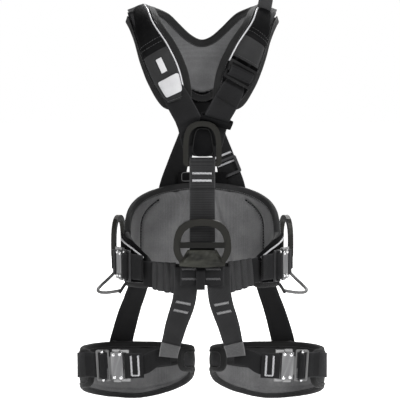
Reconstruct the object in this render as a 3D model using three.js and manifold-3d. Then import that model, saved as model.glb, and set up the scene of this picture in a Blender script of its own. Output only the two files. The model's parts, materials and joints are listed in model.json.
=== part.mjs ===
// Full-body tree climbing saddle: a padded waist belt, two leg loops, a shoulder yoke and its hardware.
// Millimetres, +Z up, wearer facing -Y, +X at the wearer's left hand. Everything is laid out round the
// middle of the waist, level with the front belt webbing, and moved at the end so that the origin is the
// middle of the underside.
import * as THREE from 'three';
import { mergeVertices } from 'three/addons/utils/BufferGeometryUtils.js';
import Module from 'manifold-3d';

const wasm = await Module();
wasm.setup();

// Driving dimensions
const WEB_WIDTH = 45;          // climbing-rated polyester webbing
const WEB_THICK = 1.8;
const WAIST = { a: 128, b: 104 };   // half width and half depth of the waist inside the belt pad
const THIGH = { a: 94, b: 80 };     // half width and half depth of the thigh inside a leg pad
const LEG_X = 118;             // distance from the middle plane to the middle of a leg loop
const LEG_Z = -180;            // mean height of a leg loop
const LEG_DROP = 20;           // the loop is this much lower behind, and higher in front
const PAD_THICK = 14;          // belt pad
const LEG_PAD_THICK = 12;
const YOKE_THICK = 11;
const BELT_RISE = 12;          // the belt sits this much higher at the hips than in front
const LAYER = 0.9;             // air between two layers of webbing or pad
const WEB_STEP = WEB_THICK + LAYER;
const BELT_OFF = PAD_THICK + LAYER + WEB_THICK / 2;    // middle of the belt webbing, out from WAIST
const LEG_OFF = LEG_PAD_THICK + LAYER + WEB_THICK / 2 + 0.2;

const CURL = 3.4;              // a flat strap laid across a round pad stands off by this much more

const UP = new THREE.Vector3(0, 0, 1);
const ACROSS_X = new THREE.Vector3(1, 0, 0);
const SIDES = [['left', 1], ['right', -1]];            // the wearer's sides: +X is the wearer's left

const finish = (color, roughness, metalness = 0) =>
  new THREE.MeshStandardMaterial({ color, roughness, metalness });
const LOOKS = {
  webbing: finish(0x242424, 0.85),
  webbing_gray: finish(0x3a3a3a, 0.85),
  lining: finish(0x5c5c5c, 0.9),
  cover: finish(0x2a2a2a, 0.9),
  ring: finish(0x2b2b26, 0.45, 0.8),
  plate: finish(0x8c8c8c, 0.35, 0.9),
  frame: finish(0x3c3c3e, 0.4, 0.85),
  loop: finish(0x6e6e6e, 0.5),
  sleeve: finish(0x3c3d36, 0.75),
};

const v3 = (x, y, z) => new THREE.Vector3(x, y, z);
const mix = (a, b, t) => a + (b - a) * t;
const smooth = (x, lo, hi) => {
  const t = Math.min(1, Math.max(0, (x - lo) / (hi - lo)));
  return t * t * (3 - 2 * t);
};
const rad = THREE.MathUtils.degToRad;

// ---- Solids ----

// Six times the signed volume of an indexed triangle list, positive when its faces point out.
function signedVolume(points, index) {
  let sum = 0;
  for (let i = 0; i < index.length; i += 3) {
    const [a, b, c] = [points[index[i]], points[index[i + 1]], points[index[i + 2]]];
    sum += a.dot(new THREE.Vector3().crossVectors(b, c));
  }
  return sum;
}

function solidFrom(points, index) {
  if (signedVolume(points, index) < 0) index.reverse();
  const geometry = new THREE.BufferGeometry().setFromPoints(points);
  geometry.setIndex(index);
  return geometry;
}

// A solid through a list of rings of points, one ring per station; capped unless it closes on itself.
function loft(rings, closed = false) {
  const size = rings[0].length;
  const points = rings.flat();
  const index = [];
  const last = closed ? rings.length : rings.length - 1;
  for (let i = 0; i < last; i++) {
    const here = i * size;
    const next = ((i + 1) % rings.length) * size;
    for (let j = 0; j < size; j++) {
      const k = (j + 1) % size;
      index.push(here + j, next + j, next + k, here + j, next + k, here + k);
    }
  }
  if (!closed) {
    const end = (rings.length - 1) * size;
    for (let j = 1; j < size - 1; j++) {
      index.push(0, j, j + 1);
      index.push(end, end + j + 1, end + j);
    }
  }
  return solidFrom(points, index);
}

// A flat strap of constant thickness along points, as wide as width(t), with its width along across(t).
function strap(points, across, width = WEB_WIDTH, samples = 14, thick = WEB_THICK) {
  const curve = new THREE.CatmullRomCurve3(points, false, 'centripetal');
  const acrossCurve = Array.isArray(across)
    ? new THREE.CatmullRomCurve3(across, false, 'catmullrom') : null;
  const rings = [];
  for (let i = 0; i <= samples; i++) {
    const t = i / samples;
    const middle = curve.getPoint(t);
    const along = curve.getTangent(t);
    const side = acrossCurve ? acrossCurve.getPoint(t) : across.clone();
    side.addScaledVector(along, -side.dot(along)).normalize();
    const out = new THREE.Vector3().crossVectors(side, along);
    const half = (typeof width === 'function' ? width(t) : width) / 2;
    const corner = (s, o) => middle.clone()
      .addScaledVector(side, s * half).addScaledVector(out, o * thick / 2);
    rings.push([corner(1, 1), corner(-1, 1), corner(-1, -1), corner(1, -1)]);
  }
  return loft(rings);
}

// A padded shell between a surface and the same surface moved out along its normals.
function shell(surface, nu, nv, thick) {
  const step = 1e-3;
  const out = (u, v) => {
    const du = surface(Math.min(1, u + step), v).sub(surface(Math.max(0, u - step), v));
    const dv = surface(u, Math.min(1, v + step)).sub(surface(u, Math.max(0, v - step)));
    return du.cross(dv).normalize();
  };
  const points = [];
  for (const layer of [0, 1])
    for (let i = 0; i <= nu; i++)
      for (let j = 0; j <= nv; j++)
        points.push(surface(i / nu, j / nv).addScaledVector(out(i / nu, j / nv), layer * thick));
  const at = (layer, i, j) => layer * (nu + 1) * (nv + 1) + i * (nv + 1) + j;
  const index = [];
  const quad = (a, b, c, d) => index.push(a, b, c, a, c, d);
  for (let i = 0; i < nu; i++)
    for (let j = 0; j < nv; j++) {
      quad(at(0, i, j), at(0, i, j + 1), at(0, i + 1, j + 1), at(0, i + 1, j));
      quad(at(1, i, j), at(1, i + 1, j), at(1, i + 1, j + 1), at(1, i, j + 1));
    }
  for (let i = 0; i < nu; i++) {
    quad(at(0, i, 0), at(0, i + 1, 0), at(1, i + 1, 0), at(1, i, 0));
    quad(at(0, i, nv), at(1, i, nv), at(1, i + 1, nv), at(0, i + 1, nv));
  }
  for (let j = 0; j < nv; j++) {
    quad(at(0, 0, j), at(1, 0, j), at(1, 0, j + 1), at(0, 0, j + 1));
    quad(at(0, nu, j), at(0, nu, j + 1), at(1, nu, j + 1), at(1, nu, j));
  }
  return solidFrom(points, index);
}

// A round cord along a curve.
function cord(points, radius, samples = 20, sides = 7) {
  const curve = new THREE.CatmullRomCurve3(points, false, 'centripetal');
  const frames = curve.computeFrenetFrames(samples, false);
  const rings = [];
  for (let i = 0; i <= samples; i++) {
    const middle = curve.getPointAt(i / samples);
    rings.push(Array.from({ length: sides }, (_, j) => {
      const angle = (2 * Math.PI * j) / sides;
      return middle.clone()
        .addScaledVector(frames.normals[i], radius * Math.cos(angle))
        .addScaledVector(frames.binormals[i], radius * Math.sin(angle));
    }));
  }
  return loft(rings);
}

function toManifold(geometry) {
  const bare = geometry.clone();
  bare.deleteAttribute('normal');
  bare.deleteAttribute('uv');
  const merged = mergeVertices(bare, 1e-4);
  return new wasm.Manifold(new wasm.Mesh({
    numProp: 3,
    vertProperties: new Float32Array(merged.attributes.position.array),
    triVerts: new Uint32Array(merged.index.array),
  }));
}

function fromManifold(solid) {
  const mesh = solid.getMesh();
  const geometry = new THREE.BufferGeometry();
  geometry.setAttribute('position', new THREE.BufferAttribute(mesh.vertProperties, 3));
  geometry.setIndex(new THREE.BufferAttribute(mesh.triVerts, 1));
  return geometry;
}

// A box given by its lowest and highest corners.
function block(low, high) {
  const size = high.map((h, i) => h - low[i]);
  return new THREE.BoxGeometry(...size)
    .translate(...low.map((l, i) => l + size[i] / 2));
}

const carve = (geometry, ...cuts) => fromManifold(
  cuts.reduce((solid, cut) => solid.subtract(toManifold(cut)), toManifold(geometry)));
const join = (geometry, ...more) => fromManifold(
  more.reduce((solid, extra) => solid.add(toManifold(extra)), toManifold(geometry)));

// A flat plate with rounded corners, centred on the origin, with its thickness along Z.
function roundedPlate(width, height, corner, thick) {
  const shape = new THREE.Shape();
  const [x, y] = [width / 2, height / 2];
  shape.moveTo(-x + corner, -y);
  shape.lineTo(x - corner, -y);
  shape.absarc(x - corner, -y + corner, corner, -Math.PI / 2, 0);
  shape.lineTo(x, y - corner);
  shape.absarc(x - corner, y - corner, corner, 0, Math.PI / 2);
  shape.lineTo(-x + corner, y);
  shape.absarc(-x + corner, y - corner, corner, Math.PI / 2, Math.PI);
  shape.lineTo(-x, -y + corner);
  shape.absarc(-x + corner, -y + corner, corner, Math.PI, 1.5 * Math.PI);
  return new THREE.ExtrudeGeometry(shape, { depth: thick, bevelEnabled: false, curveSegments: 3 })
    .translate(0, 0, -thick / 2);
}

const root = new THREE.Group();
function place(parent, name, geometry, look) {
  const mesh = new THREE.Mesh(geometry, LOOKS[look]);
  mesh.name = name;
  parent.add(mesh);
  return mesh;
}

// ---- Body form: angle 0 is the middle of the back, 90 the wearer's left, 180 the front ----

const beltHeight = (deg) => BELT_RISE * smooth(180 - Math.abs(deg), 0, 70);
function waistPoint(deg, off, z) {
  return v3((WAIST.a + off) * Math.sin(rad(deg)), (WAIST.b + off) * Math.cos(rad(deg)), z);
}
const beltPoint = (deg, off = BELT_OFF) => waistPoint(deg, off, beltHeight(deg));

// A leg loop's own angle: 0 is behind, 90 the outside of the thigh, 180 the front, on either leg.
const legHeight = (deg) => LEG_Z - LEG_DROP * Math.cos(rad(deg));
function legPoint(side, deg, off, dz = 0) {
  return v3(side * (LEG_X + (THIGH.a + off) * Math.sin(rad(deg))),
    (THIGH.b + off) * Math.cos(rad(deg)), legHeight(deg) + dz);
}

// ---- Pads ----

// The belt pad is a tall dome behind and two low wings that end short of the front.
const PAD_END = 138;
const DOME = { edge: 92, low: 62, rise: 76, power: 0.62 };
function padTop(deg) {
  const a = Math.abs(deg);
  if (a < DOME.edge) return DOME.low + DOME.rise * (1 - (a / DOME.edge) ** 2) ** DOME.power;
  return mix(DOME.low, 22, ((a - DOME.edge) / (PAD_END - DOME.edge)) ** 1.3);
}
const padBottom = (deg) => -28 + 6 * smooth(Math.abs(deg), 90, PAD_END);
function beltPad(u, v) {
  const deg = mix(PAD_END, -PAD_END, u);
  return waistPoint(deg, 0, mix(padBottom(deg), padTop(deg), v));
}
place(root, 'belt_pad', shell(beltPad, 40, 3, PAD_THICK), 'lining');

// A leg pad wraps the back and both sides of the thigh. It is deep behind and narrow on the inside: its
// lower and upper edges are given at even steps from the inner front end, -128, to the outer one, 128.
const LEG_PAD_END = 128;
const LEG_PAD_LOW = [-178, -188, -217, -242, -256, -251, -236, -217, -206];
const LEG_PAD_TOP = [-141, -148, -153, -156, -157, -155, -153, -150, -146];
const legPadEdges = new THREE.CatmullRomCurve3(LEG_PAD_LOW.map((low, i) => v3(i, low, LEG_PAD_TOP[i])),
  false, 'catmullrom', 0.5);
SIDES.forEach(([name, side]) => {
  const surface = (u, v) => {
    const deg = mix(side * LEG_PAD_END, -side * LEG_PAD_END, u);
    const edges = legPadEdges.getPoint((deg + LEG_PAD_END) / (2 * LEG_PAD_END));
    return legPoint(side, deg, 0).setZ(mix(edges.y, edges.z, v));
  };
  place(root, `leg_pad_${name}`, shell(surface, 26, 3, LEG_PAD_THICK), 'lining');
});

// The yoke runs from one front end, over the shoulder, across the back and down the other front.
// Its two edges are given for the wearer's left half, from the front end to the middle of the back.
const YOKE_INNER = [[20, -118, 300], [23, -118, 335], [32, -114, 368], [50, -104, 402], [73, -82, 433],
  [84, -46, 451], [91, 0, 459], [84, 42, 456], [62, 74, 444], [40, 94, 420], [20, 104, 401], [0, 108, 394]];
const YOKE_OUTER = [[60, -110, 290], [84, -100, 306], [101, -92, 337], [110, -86, 373], [117, -73, 408],
  [127, -48, 431], [134, -5, 442], [131, 40, 438], [116, 79, 418], [90, 101, 384], [58, 113, 338],
  [0, 119, 298]];
function yokeEdge(list) {
  const half = list.map((p) => v3(...p));
  const other = half.slice(0, -1).reverse().map((p) => v3(-p.x, p.y, p.z));
  return new THREE.CatmullRomCurve3([...half, ...other], false, 'centripetal');
}
const yokeInner = yokeEdge(YOKE_INNER);
const yokeOuter = yokeEdge(YOKE_OUTER);
const YOKE_CROWN = 7;          // the pad bulges away from the body by this much along its middle
function yokeSurface(u, v) {
  const [a, b] = [yokeInner.getPoint(u), yokeOuter.getPoint(u)];
  const along = yokeInner.getTangent(u).add(yokeOuter.getTangent(u)).normalize();
  const out = b.clone().sub(a).cross(along).normalize();
  const crown = YOKE_CROWN * 4 * v * (1 - v) * smooth(0.5 - Math.abs(u - 0.5), 0, 0.2);
  return a.lerp(b, v).addScaledVector(out, crown);
}
place(root, 'yoke_pad', shell((u, v) => yokeSurface(u, 1 - v), 46, 4, YOKE_THICK), 'lining');

// A point above the outer face of the yoke, and the direction across the arm there.
function onYoke(u, v, lift) {
  const [a, b] = [yokeSurface(u, 0), yokeSurface(u, 1)];
  const step = 0.004;
  const along = yokeSurface(u + step, v).sub(yokeSurface(u - step, v));
  const across = yokeSurface(u, v + step).sub(yokeSurface(u, v - step));
  const out = across.clone().cross(along).normalize();
  return {
    point: yokeSurface(u, v).addScaledVector(out, YOKE_THICK + lift),
    across: b.sub(a).normalize(),
    out,
  };
}

// ---- Quick-release buckle ----
// Its own frame: X along the strap towards the body, Y across the strap, Z out from the wearer.
const BUCKLE = {
  half: 28,            // half its size across the strap
  frameEnd: -32, frameOpen: -27.5, crossbar: -10.5, tongueRoot: -7.5,
  mouth: -3, tongueTip: 13, cavityEnd: 14.5, slot: 18.5, bar: 24.5, bodyEnd: 30,
  bodyThick: 9.5, tongueThick: 3, tongueHalf: 16,
  latchLow: 2, latchHigh: 11,
  barMiddle: -18.5, barHalf: 3, barLow: 2.2, barHigh: 6.6,
};

function buckleBody() {
  const B = BUCKLE;
  const t = B.bodyThick / 2;
  const core = block([B.mouth, -24, -t], [B.slot, 24, t]);
  const earsAndBar = carve(
    block([B.slot - 4, -B.half, -2], [B.bodyEnd, B.half, 2]),
    block([B.slot, -23.6, -3], [B.bar, 23.6, 3]));
  const rivet = (x, y) => new THREE.CylinderGeometry(2.4, 3, 1.2, 10)
    .rotateX(Math.PI / 2).translate(x, y, t + 0.4);
  const rivets = [[2, 20], [2, -20], [14, 21], [14, -21]].map(([x, y]) => rivet(x, y));
  const channel = block([B.mouth - 1, -B.tongueHalf - 1.5, -2], [B.cavityEnd, B.tongueHalf + 1.5, 2]);
  const pocket = (s) => block([B.latchLow - 0.5, Math.min(s * 9, s * 25), -2.4],
    [B.latchHigh + 0.5, Math.max(s * 9, s * 25), 2.4]);
  return carve(join(core, earsAndBar, ...rivets), channel, pocket(1), pocket(-1));
}

function buckleTongue() {
  const B = BUCKLE;
  const frame = carve(
    roundedPlate(B.tongueRoot - B.frameEnd, 2 * B.half, 3, 3.6)
      .translate((B.tongueRoot + B.frameEnd) / 2, 0, 0),
    block([B.frameOpen, -23.6, -3], [B.crossbar, 23.6, 3]));
  const t = B.tongueThick / 2;
  const tongue = block([B.crossbar + 1, -B.tongueHalf, -t], [B.tongueTip, B.tongueHalf, t]);
  const notch = (s) => block([B.latchLow - 1, Math.min(s * 11.5, s * 17), -3],
    [B.latchHigh + 1, Math.max(s * 11.5, s * 17), 3]);
  return carve(join(frame, tongue), notch(1), notch(-1));
}

// A latch: a tooth beside the tongue's notch and a button outside the body. It is pressed inwards.
function buckleLatch(s) {
  const B = BUCKLE;
  const span = (a, b) => [Math.min(s * a, s * b), Math.max(s * a, s * b)];
  const [toothLow, toothHigh] = span(16.3, 26);
  const [buttonLow, buttonHigh] = span(25.6, 29);
  return join(
    block([B.latchLow, toothLow, -2], [B.latchHigh, toothHigh, 2]),
    block([B.latchLow - 2.5, buttonLow, -3], [B.latchHigh + 2.5, buttonHigh, 3]));
}

function adjusterBar() {
  const B = BUCKLE;
  return block([B.barMiddle - B.barHalf, -27, B.barLow], [B.barMiddle + B.barHalf, 27, B.barHigh]);
}

// A buckle frame at a point, with its X along the strap and its Z outwards.
function buckleFrame(point, along, out) {
  const group = new THREE.Group();
  const z = out.clone().normalize();
  const x = along.clone().addScaledVector(z, -along.dot(z)).normalize();
  const y = new THREE.Vector3().crossVectors(z, x);
  group.matrix.makeBasis(x, y, z).setPosition(point);
  group.matrix.decompose(group.position, group.quaternion, group.scale);
  group.updateMatrixWorld(true);
  return group;
}

// The strap loop that ties webbing to the bar of the buckle's body. far is where it lies on the belt.
function bodyLoop(tail, topEnd = 44) {
  const low = -3.5;
  return strap([...tail, v3(36, 0, low), v3(27, 0, low), v3(23.6, 0, -3.2), v3(21.7, 0, -1.8),
    v3(21.2, 0, 0), v3(21.7, 0, 1.8), v3(23.6, 0, 3.2), v3(27, 0, 3.6), v3(34, 0, 2), v3(topEnd, 0, 0.2)],
  v3(0, 1, 0), WEB_WIDTH, 28);
}

// The adjustable end: webbing that comes in under the frame, round the adjuster bar and back out.
function adjusterLoop(drop) {
  return strap([v3(-58, 0, -3.4 - drop(58)), v3(-46, 0, -3.4 - drop(46)), v3(-36, 0, -3.6), v3(-26, 0, -3.4),
    v3(-17, 0, -3.2), v3(-13.2, 0, 0), v3(-13, 0, 4), v3(-14.6, 0, 7.2), v3(-19, 0, 8.2), v3(-26, 0, 7.6),
    v3(-36, 0, 3.6), v3(-46, 0, 0.4 - drop(46)), v3(-56, 0, -0.6 - drop(56))],
  v3(0, 1, 0), WEB_WIDTH, 34);
}

function quickBuckle(prefix, frame) {
  const up = Math.sign(new THREE.Vector3(0, 1, 0).applyQuaternion(frame.quaternion).z);
  place(frame, `${prefix}_buckle_body`, buckleBody(), 'plate');
  place(frame, `${prefix}_buckle_tongue`, buckleTongue(), 'frame');
  place(frame, `${prefix}_adjuster_bar`, adjusterBar(), 'frame');
  place(frame, `${prefix}_latch_upper`, buckleLatch(up), 'plate');
  place(frame, `${prefix}_latch_lower`, buckleLatch(-up), 'plate');
  root.add(frame);
}

// ---- Waist belt webbing and its two buckles ----
const WAIST_BUCKLE = { deg: 112, off: 24 };
const hollow = (a, b) => (u) => (u * u * a) / (2 * b * b);   // how far an ellipse falls from its tangent
const rearBeltEnd = WAIST_BUCKLE.deg - 28;
place(root, 'rear_belt_webbing',
  strap(Array.from({ length: 25 }, (_, i) => beltPoint(mix(-rearBeltEnd, rearBeltEnd, i / 24))),
    UP, WEB_WIDTH, 36), 'webbing');
const frontBeltEnd = 180 - (WAIST_BUCKLE.deg + 22);
place(root, 'front_belt_webbing',
  strap(Array.from({ length: 13 }, (_, i) => beltPoint(180 + mix(-frontBeltEnd, frontBeltEnd, i / 12))),
    UP, WEB_WIDTH, 20), 'webbing_gray');

SIDES.forEach(([name, side]) => {
  const { deg, off } = WAIST_BUCKLE;
  const tangent = v3(side * (WAIST.a + off) * Math.cos(rad(deg)), -(WAIST.b + off) * Math.sin(rad(deg)), 0);
  const origin = waistPoint(side * deg, off, beltHeight(deg));
  const normal = v3(side * Math.sin(rad(deg)) / (WAIST.a + off), Math.cos(rad(deg)) / (WAIST.b + off), 0);
  const frame = buckleFrame(origin, tangent.negate(), normal);
  quickBuckle(`waist_${name}`, frame);
  const fall = hollow(122, 142);
  place(frame, `waist_${name}_adjuster_loop`, adjusterLoop((u) => 0.75 * fall(u)), 'webbing');
  place(frame, `waist_${name}_buckle_loop`,
    bodyLoop([v3(54, 0, -10.6), v3(46, 0, -7)]), 'webbing');
});

// ---- Attachment rings ----
// A D-ring standing in the XZ plane: a straight foot along X at the bottom and an arched top. footWidth
// is less than width where the sides lean in to the foot, and a flatness near 1 squares the arch.
function dRing({ width, height, bar, thick, foot = bar, crossbar, footWidth = width, flatness = 0.66 }) {
  const outline = (inset, low, corner) => {
    const shape = new THREE.Shape();
    const x = width / 2 - inset;
    const f = footWidth / 2 - inset;
    const top = height - inset;
    const shoulder = low + (top - low) * 0.4;
    shape.moveTo(-f + corner, low);
    shape.lineTo(f - corner, low);
    shape.quadraticCurveTo(f, low, mix(f, x, 0.2), low + corner);
    shape.quadraticCurveTo(x, mix(low + corner, shoulder, 0.5), x, shoulder);
    shape.bezierCurveTo(x, mix(shoulder, top, 0.62), x * flatness, top, 0, top);
    shape.bezierCurveTo(-x * flatness, top, -x, mix(shoulder, top, 0.62), -x, shoulder);
    shape.quadraticCurveTo(-x, mix(low + corner, shoulder, 0.5), -mix(f, x, 0.2), low + corner);
    shape.quadraticCurveTo(-f, low, -f + corner, low);
    return shape;
  };
  const flat = (shape, depth) => new THREE.ExtrudeGeometry(shape,
    { depth, bevelEnabled: false, curveSegments: 6 }).translate(0, 0, -depth / 2);
  let solid = carve(flat(outline(0, 0, 9), thick), flat(outline(bar, foot, 2), thick * 2));
  if (crossbar) solid = join(solid, block([-width / 2 + bar / 2, crossbar - 5, -thick / 2 + 1],
    [width / 2 - bar / 2, crossbar + 5, thick / 2 - 1]));
  return solid.rotateX(Math.PI / 2);
}

// Webbing folded round a ring's foot that lies along X: both ends hang down by drop.
function footLoop(footMiddle, reach, drop, width = WEB_WIDTH) {
  return strap([v3(0, reach, -drop), v3(0, reach, -6), v3(0, reach, footMiddle),
    v3(0, reach * 0.72, footMiddle + reach * 0.72), v3(0, 0, footMiddle + reach),
    v3(0, -reach * 0.72, footMiddle + reach * 0.72), v3(0, -reach, footMiddle), v3(0, -reach, -6),
    v3(0, -reach, -drop)], ACROSS_X, width, 20);
}

// Ventral ring: hinged in front of the belt, leaning up against the chest strap.
const VENTRAL = {
  width: 100, height: 84, bar: 12, thick: 9.6, foot: 8, crossbar: 38, footWidth: 76, flatness: 0.8,
};
const VENTRAL_AT = v3(0, -136, 20);
const ventral = new THREE.Group();
ventral.position.copy(VENTRAL_AT);
place(ventral, 'ventral_ring', dRing(VENTRAL), 'ring');
place(ventral, 'ventral_sleeve', footLoop(VENTRAL.foot / 2, 7.7, 14, 48), 'sleeve');
root.add(ventral);

// Sternal ring: joins the shoulder straps to the chest strap.
const STERNAL = { width: 66, height: 78, bar: 9, thick: 8, foot: 7, flatness: 0.82 };
const STERNAL_AT = v3(0, -136, 194);
const sternal = new THREE.Group();
sternal.position.copy(STERNAL_AT);
place(sternal, 'sternal_ring', dRing(STERNAL), 'ring');
root.add(sternal);

// Chest strap: folded round the sternal ring's foot, doubled down to the front belt.
const chestReach = STERNAL.thick / 2 + 2.4;
const chestTurn = (angle) => STERNAL_AT.clone().add(v3(0, chestReach * Math.cos(rad(angle)),
  STERNAL.foot / 2 + chestReach * Math.sin(rad(angle))));
place(root, 'chest_strap', strap([v3(0, -125, 26), v3(0, -125, 60), v3(0, -125.6, 130), v3(0, -127.6, 180),
  STERNAL_AT.clone().add(v3(0, chestReach, 0)), chestTurn(0), chestTurn(45), chestTurn(90), chestTurn(135),
  chestTurn(180), STERNAL_AT.clone().add(v3(0, -chestReach, 0)), v3(0, -133, 176), v3(0, -129, 156)],
ACROSS_X, WEB_WIDTH - 1, 36), 'webbing_gray');

// Side rings: hinged along Y on the hips, standing up against the belt pad.
const SIDE_RING_TURN = 0.26;   // they follow the belt round, so they face a little backwards
const SIDE_RING = { width: 66, height: 76, bar: 9, thick: 8, foot: 8 };
SIDES.forEach(([name, side]) => {
  const group = new THREE.Group();
  group.position.set(side * 153, 44, 14);
  group.rotation.z = side * (Math.PI / 2 + SIDE_RING_TURN);
  place(group, `side_ring_${name}`, dRing(SIDE_RING), 'ring');
  place(group, `side_ring_loop_${name}`, footLoop(SIDE_RING.foot / 2, 7, 21, 38), 'webbing');
  root.add(group);
});

// Dorsal ring and plate, where the shoulder straps cross behind.
const DORSAL = { width: 58, height: 62, bar: 8, thick: 8, foot: 8 };
const DORSAL_AT = v3(0, 159.5, 262);
const dorsal = new THREE.Group();
dorsal.position.copy(DORSAL_AT);
place(dorsal, 'dorsal_ring', dRing(DORSAL), 'ring');
place(dorsal, 'dorsal_ring_loop', footLoop(DORSAL.foot / 2, 7, 22, 40), 'webbing');
root.add(dorsal);
const dorsalPlate = roundedPlate(78, 70, 16, 4).rotateX(Math.PI / 2);
place(root, 'dorsal_plate', dorsalPlate.translate(0, 146.5, 262), 'frame');

// Gear loops: stiff plastic-sheathed loops below the hips, hinged through their ends.
const GEAR_LOOP = [[155, 16, -6], [158, 16, -11], [170, 12, -23], [184, 0, -35], [188, -14, -39],
  [184, -30, -41], [170, -42, -40], [155, -48, -37], [145, -49, -35]];
SIDES.forEach(([name, side]) => {
  place(root, `gear_loop_${name}`, cord(GEAR_LOOP.map(([x, y, z]) => v3(side * x, y, z)), 3.2), 'loop');
});

// ---- Leg loops ----
const PANEL_END_WIDTH = 30;    // the front panel narrows towards the inside of the thigh
const PANEL_END_RISE = 12;     // and its lower edge rises, so its top edge stays level
SIDES.forEach(([name, side]) => {
  // Buckle in front, a little to the outside.
  const deg = 161;
  const off = 22;
  const origin = legPoint(side, deg, off);
  const tangent = legPoint(side, deg + 0.5, off).sub(legPoint(side, deg - 0.5, off));
  const normal = v3(side * Math.sin(rad(deg)) / (THIGH.a + off), Math.cos(rad(deg)) / (THIGH.b + off), 0);
  const frame = buckleFrame(origin, tangent, normal);
  quickBuckle(`leg_${name}`, frame);
  const fall = hollow(92, 107);
  place(frame, `leg_${name}_adjuster_loop`, adjusterLoop((u) => 0.62 * fall(u)), 'webbing');
  const rise = PANEL_END_RISE * Math.sign(new THREE.Vector3(0, 1, 0).applyQuaternion(frame.quaternion).z);
  place(frame, `leg_${name}_front_panel`, strap([v3(98, rise, -21), v3(88, rise, -17.3),
    v3(72, rise * 0.8, -11.5), v3(54, 0, -6.8), v3(42, 0, -4.6), v3(36, 0, -3.6), v3(27, 0, -3.5),
    v3(23.6, 0, -3.2), v3(21.7, 0, -1.8),
    v3(21.2, 0, 0), v3(21.7, 0, 1.8), v3(23.6, 0, 3.2), v3(27, 0, 3.6), v3(34, 0, 2), v3(46, 0, -1),
    v3(54, 0, -3.2)],
  v3(0, 1, 0), (t) => mix(PANEL_END_WIDTH, WEB_WIDTH, smooth(t, 0.12, 0.42)), 44), 'webbing');
  // Outer strap: sewn round the outside of the leg pad, from behind to the adjuster.
  const arc = Array.from({ length: 13 }, (_, i) => legPoint(side, mix(-60, 141, i / 12), LEG_OFF));
  place(root, `leg_outer_strap_${name}`, strap(arc, UP, WEB_WIDTH, 22), 'webbing');
  // Front leg strap: from the belt down to a loop round the front panel.
  place(root, `leg_front_strap_${name}`, strap([v3(side * 34.5, -123.2, 18), v3(side * 35, -123.8, -20),
    v3(side * 42, -121, -66), v3(side * 51, -116.5, -106), v3(side * 58, -112, -132),
    v3(side * 61, -111, -151)],
  [0.14, 0.14, 0.1, 0, -0.12, -0.14].map((lean) => v3(1, lean * side, 0)),
  (t) => mix(WEB_WIDTH - 4, 37, smooth(t, 0.5, 1)), 20), 'webbing_gray');
  // Rear leg strap: from the back of the belt to the outside of the leg pad.
  const start = waistPoint(side * 50, BELT_OFF + WEB_STEP + CURL, 30);
  const end = legPoint(side, 18, LEG_OFF + WEB_STEP + CURL, 10);
  place(root, `leg_rear_strap_${name}`, strap([start, waistPoint(side * 50, BELT_OFF + WEB_STEP + CURL, -30),
    start.clone().lerp(end, 0.62).add(v3(0, 5, 0)), end.clone().add(v3(0, 1, 24)), end],
  [v3(1, -0.72 * side, 0), v3(1, -0.72 * side, 0), v3(1, -0.5 * side, 0), v3(1, -0.3 * side, 0),
    v3(1, -0.27 * side, 0)], WEB_WIDTH, 18), 'webbing');
});

// ---- Shoulder straps ----
// Each runs from behind the sternal ring, up over the yoke and down to the dorsal plate. The right one
// lies over the left one at both ends.
const STRAP_ON_YOKE = { start: 0.05, end: 0.4 };
SIDES.forEach(([name, side]) => {
  const flip = (p) => v3(side * p.x, p.y, p.z);
  const over = side > 0 ? 0 : WEB_STEP + 0.9;
  const { start, end } = STRAP_ON_YOKE;
  const stations = Array.from({ length: 14 }, (_, i) => onYoke(mix(start, end, i / 13),
    mix(0.4, 0.5, smooth(i, 1, 8)), mix(3.3, 5.5, i / 13)));
  const points = [v3(12, -119 - over, 230), v3(17, -120 - over, 250), v3(21, -123.4 - over, 265),
    v3(27, -132 - over, 280),
    ...stations.map((s) => s.point), v3(29, 137.5 + over, 330), v3(18, 138 + over, 290),
    v3(4, 137.5 + over, 262)];
  const leaning = v3(0.88, 0.1, -0.4);
  const acrosses = [leaning, leaning, v3(0.88, 0.16, -0.4), v3(0.86, 0.24, -0.42),
    ...stations.map((s) => s.across),
    v3(0.85, -0.12, -0.5), v3(0.85, 0, -0.5), v3(0.85, 0, -0.5)];
  const web = strap(points.map(flip), acrosses.map(flip), WEB_WIDTH, 40);
  place(root, `shoulder_strap_${name}`, web, 'webbing');
});

// Back straps: from the dorsal plate, crossing to the other side, down the back and over the belt.
SIDES.forEach(([name, side]) => {
  const off = BELT_OFF + WEB_STEP + CURL;
  const over = side > 0 ? 0 : WEB_STEP;
  const lean = (y, z) => v3(0.9, y * side, z * side);
  place(root, `back_strap_${name}`, strap([v3(side * 2, 128 - over, 282), v3(side * 17, 128 - over, 240),
    v3(side * 42, 124, 178), waistPoint(side * 23.5, off, 132), waistPoint(side * 29, off, 60),
    waistPoint(side * 32, off, 4)],
  [lean(0, 0.35), lean(0, 0.35), lean(-0.2, 0.3), lean(-0.4, 0.25), lean(-0.5, 0.1), lean(-0.5, 0)],
  WEB_WIDTH, 20), 'webbing');
});

// ---- Shoulder adjuster: a three-bar slide on the wearer's left strap ----
const SLIDE = { half: 27, length: 34, rail: 5, thick: 3 };
function slideFrame() {
  const { half, length, rail, thick } = SLIDE;
  const plate = roundedPlate(length, 2 * half, 4, thick);
  const [x, y] = [length / 2 - rail, half - rail];
  return carve(plate, block([-x, -y, -thick], [x, y, thick]));
}
function slideBar() {
  const low = SLIDE.thick / 2 + 0.3;
  return block([-4, -SLIDE.half + 1, low], [4, SLIDE.half - 1, low + 4]);
}
const slideSeat = onYoke(0.085, 0.41, LAYER + 2.4 + WEB_THICK + 2.6);
const slideAlong = yokeSurface(0.09, 0.41).sub(yokeSurface(0.08, 0.4));
const slide = buckleFrame(slideSeat.point, slideAlong, slideSeat.out);
place(slide, 'shoulder_adjuster_frame', slideFrame(), 'frame');
place(slide, 'shoulder_adjuster_bar', slideBar(), 'frame');
root.add(slide);

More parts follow.
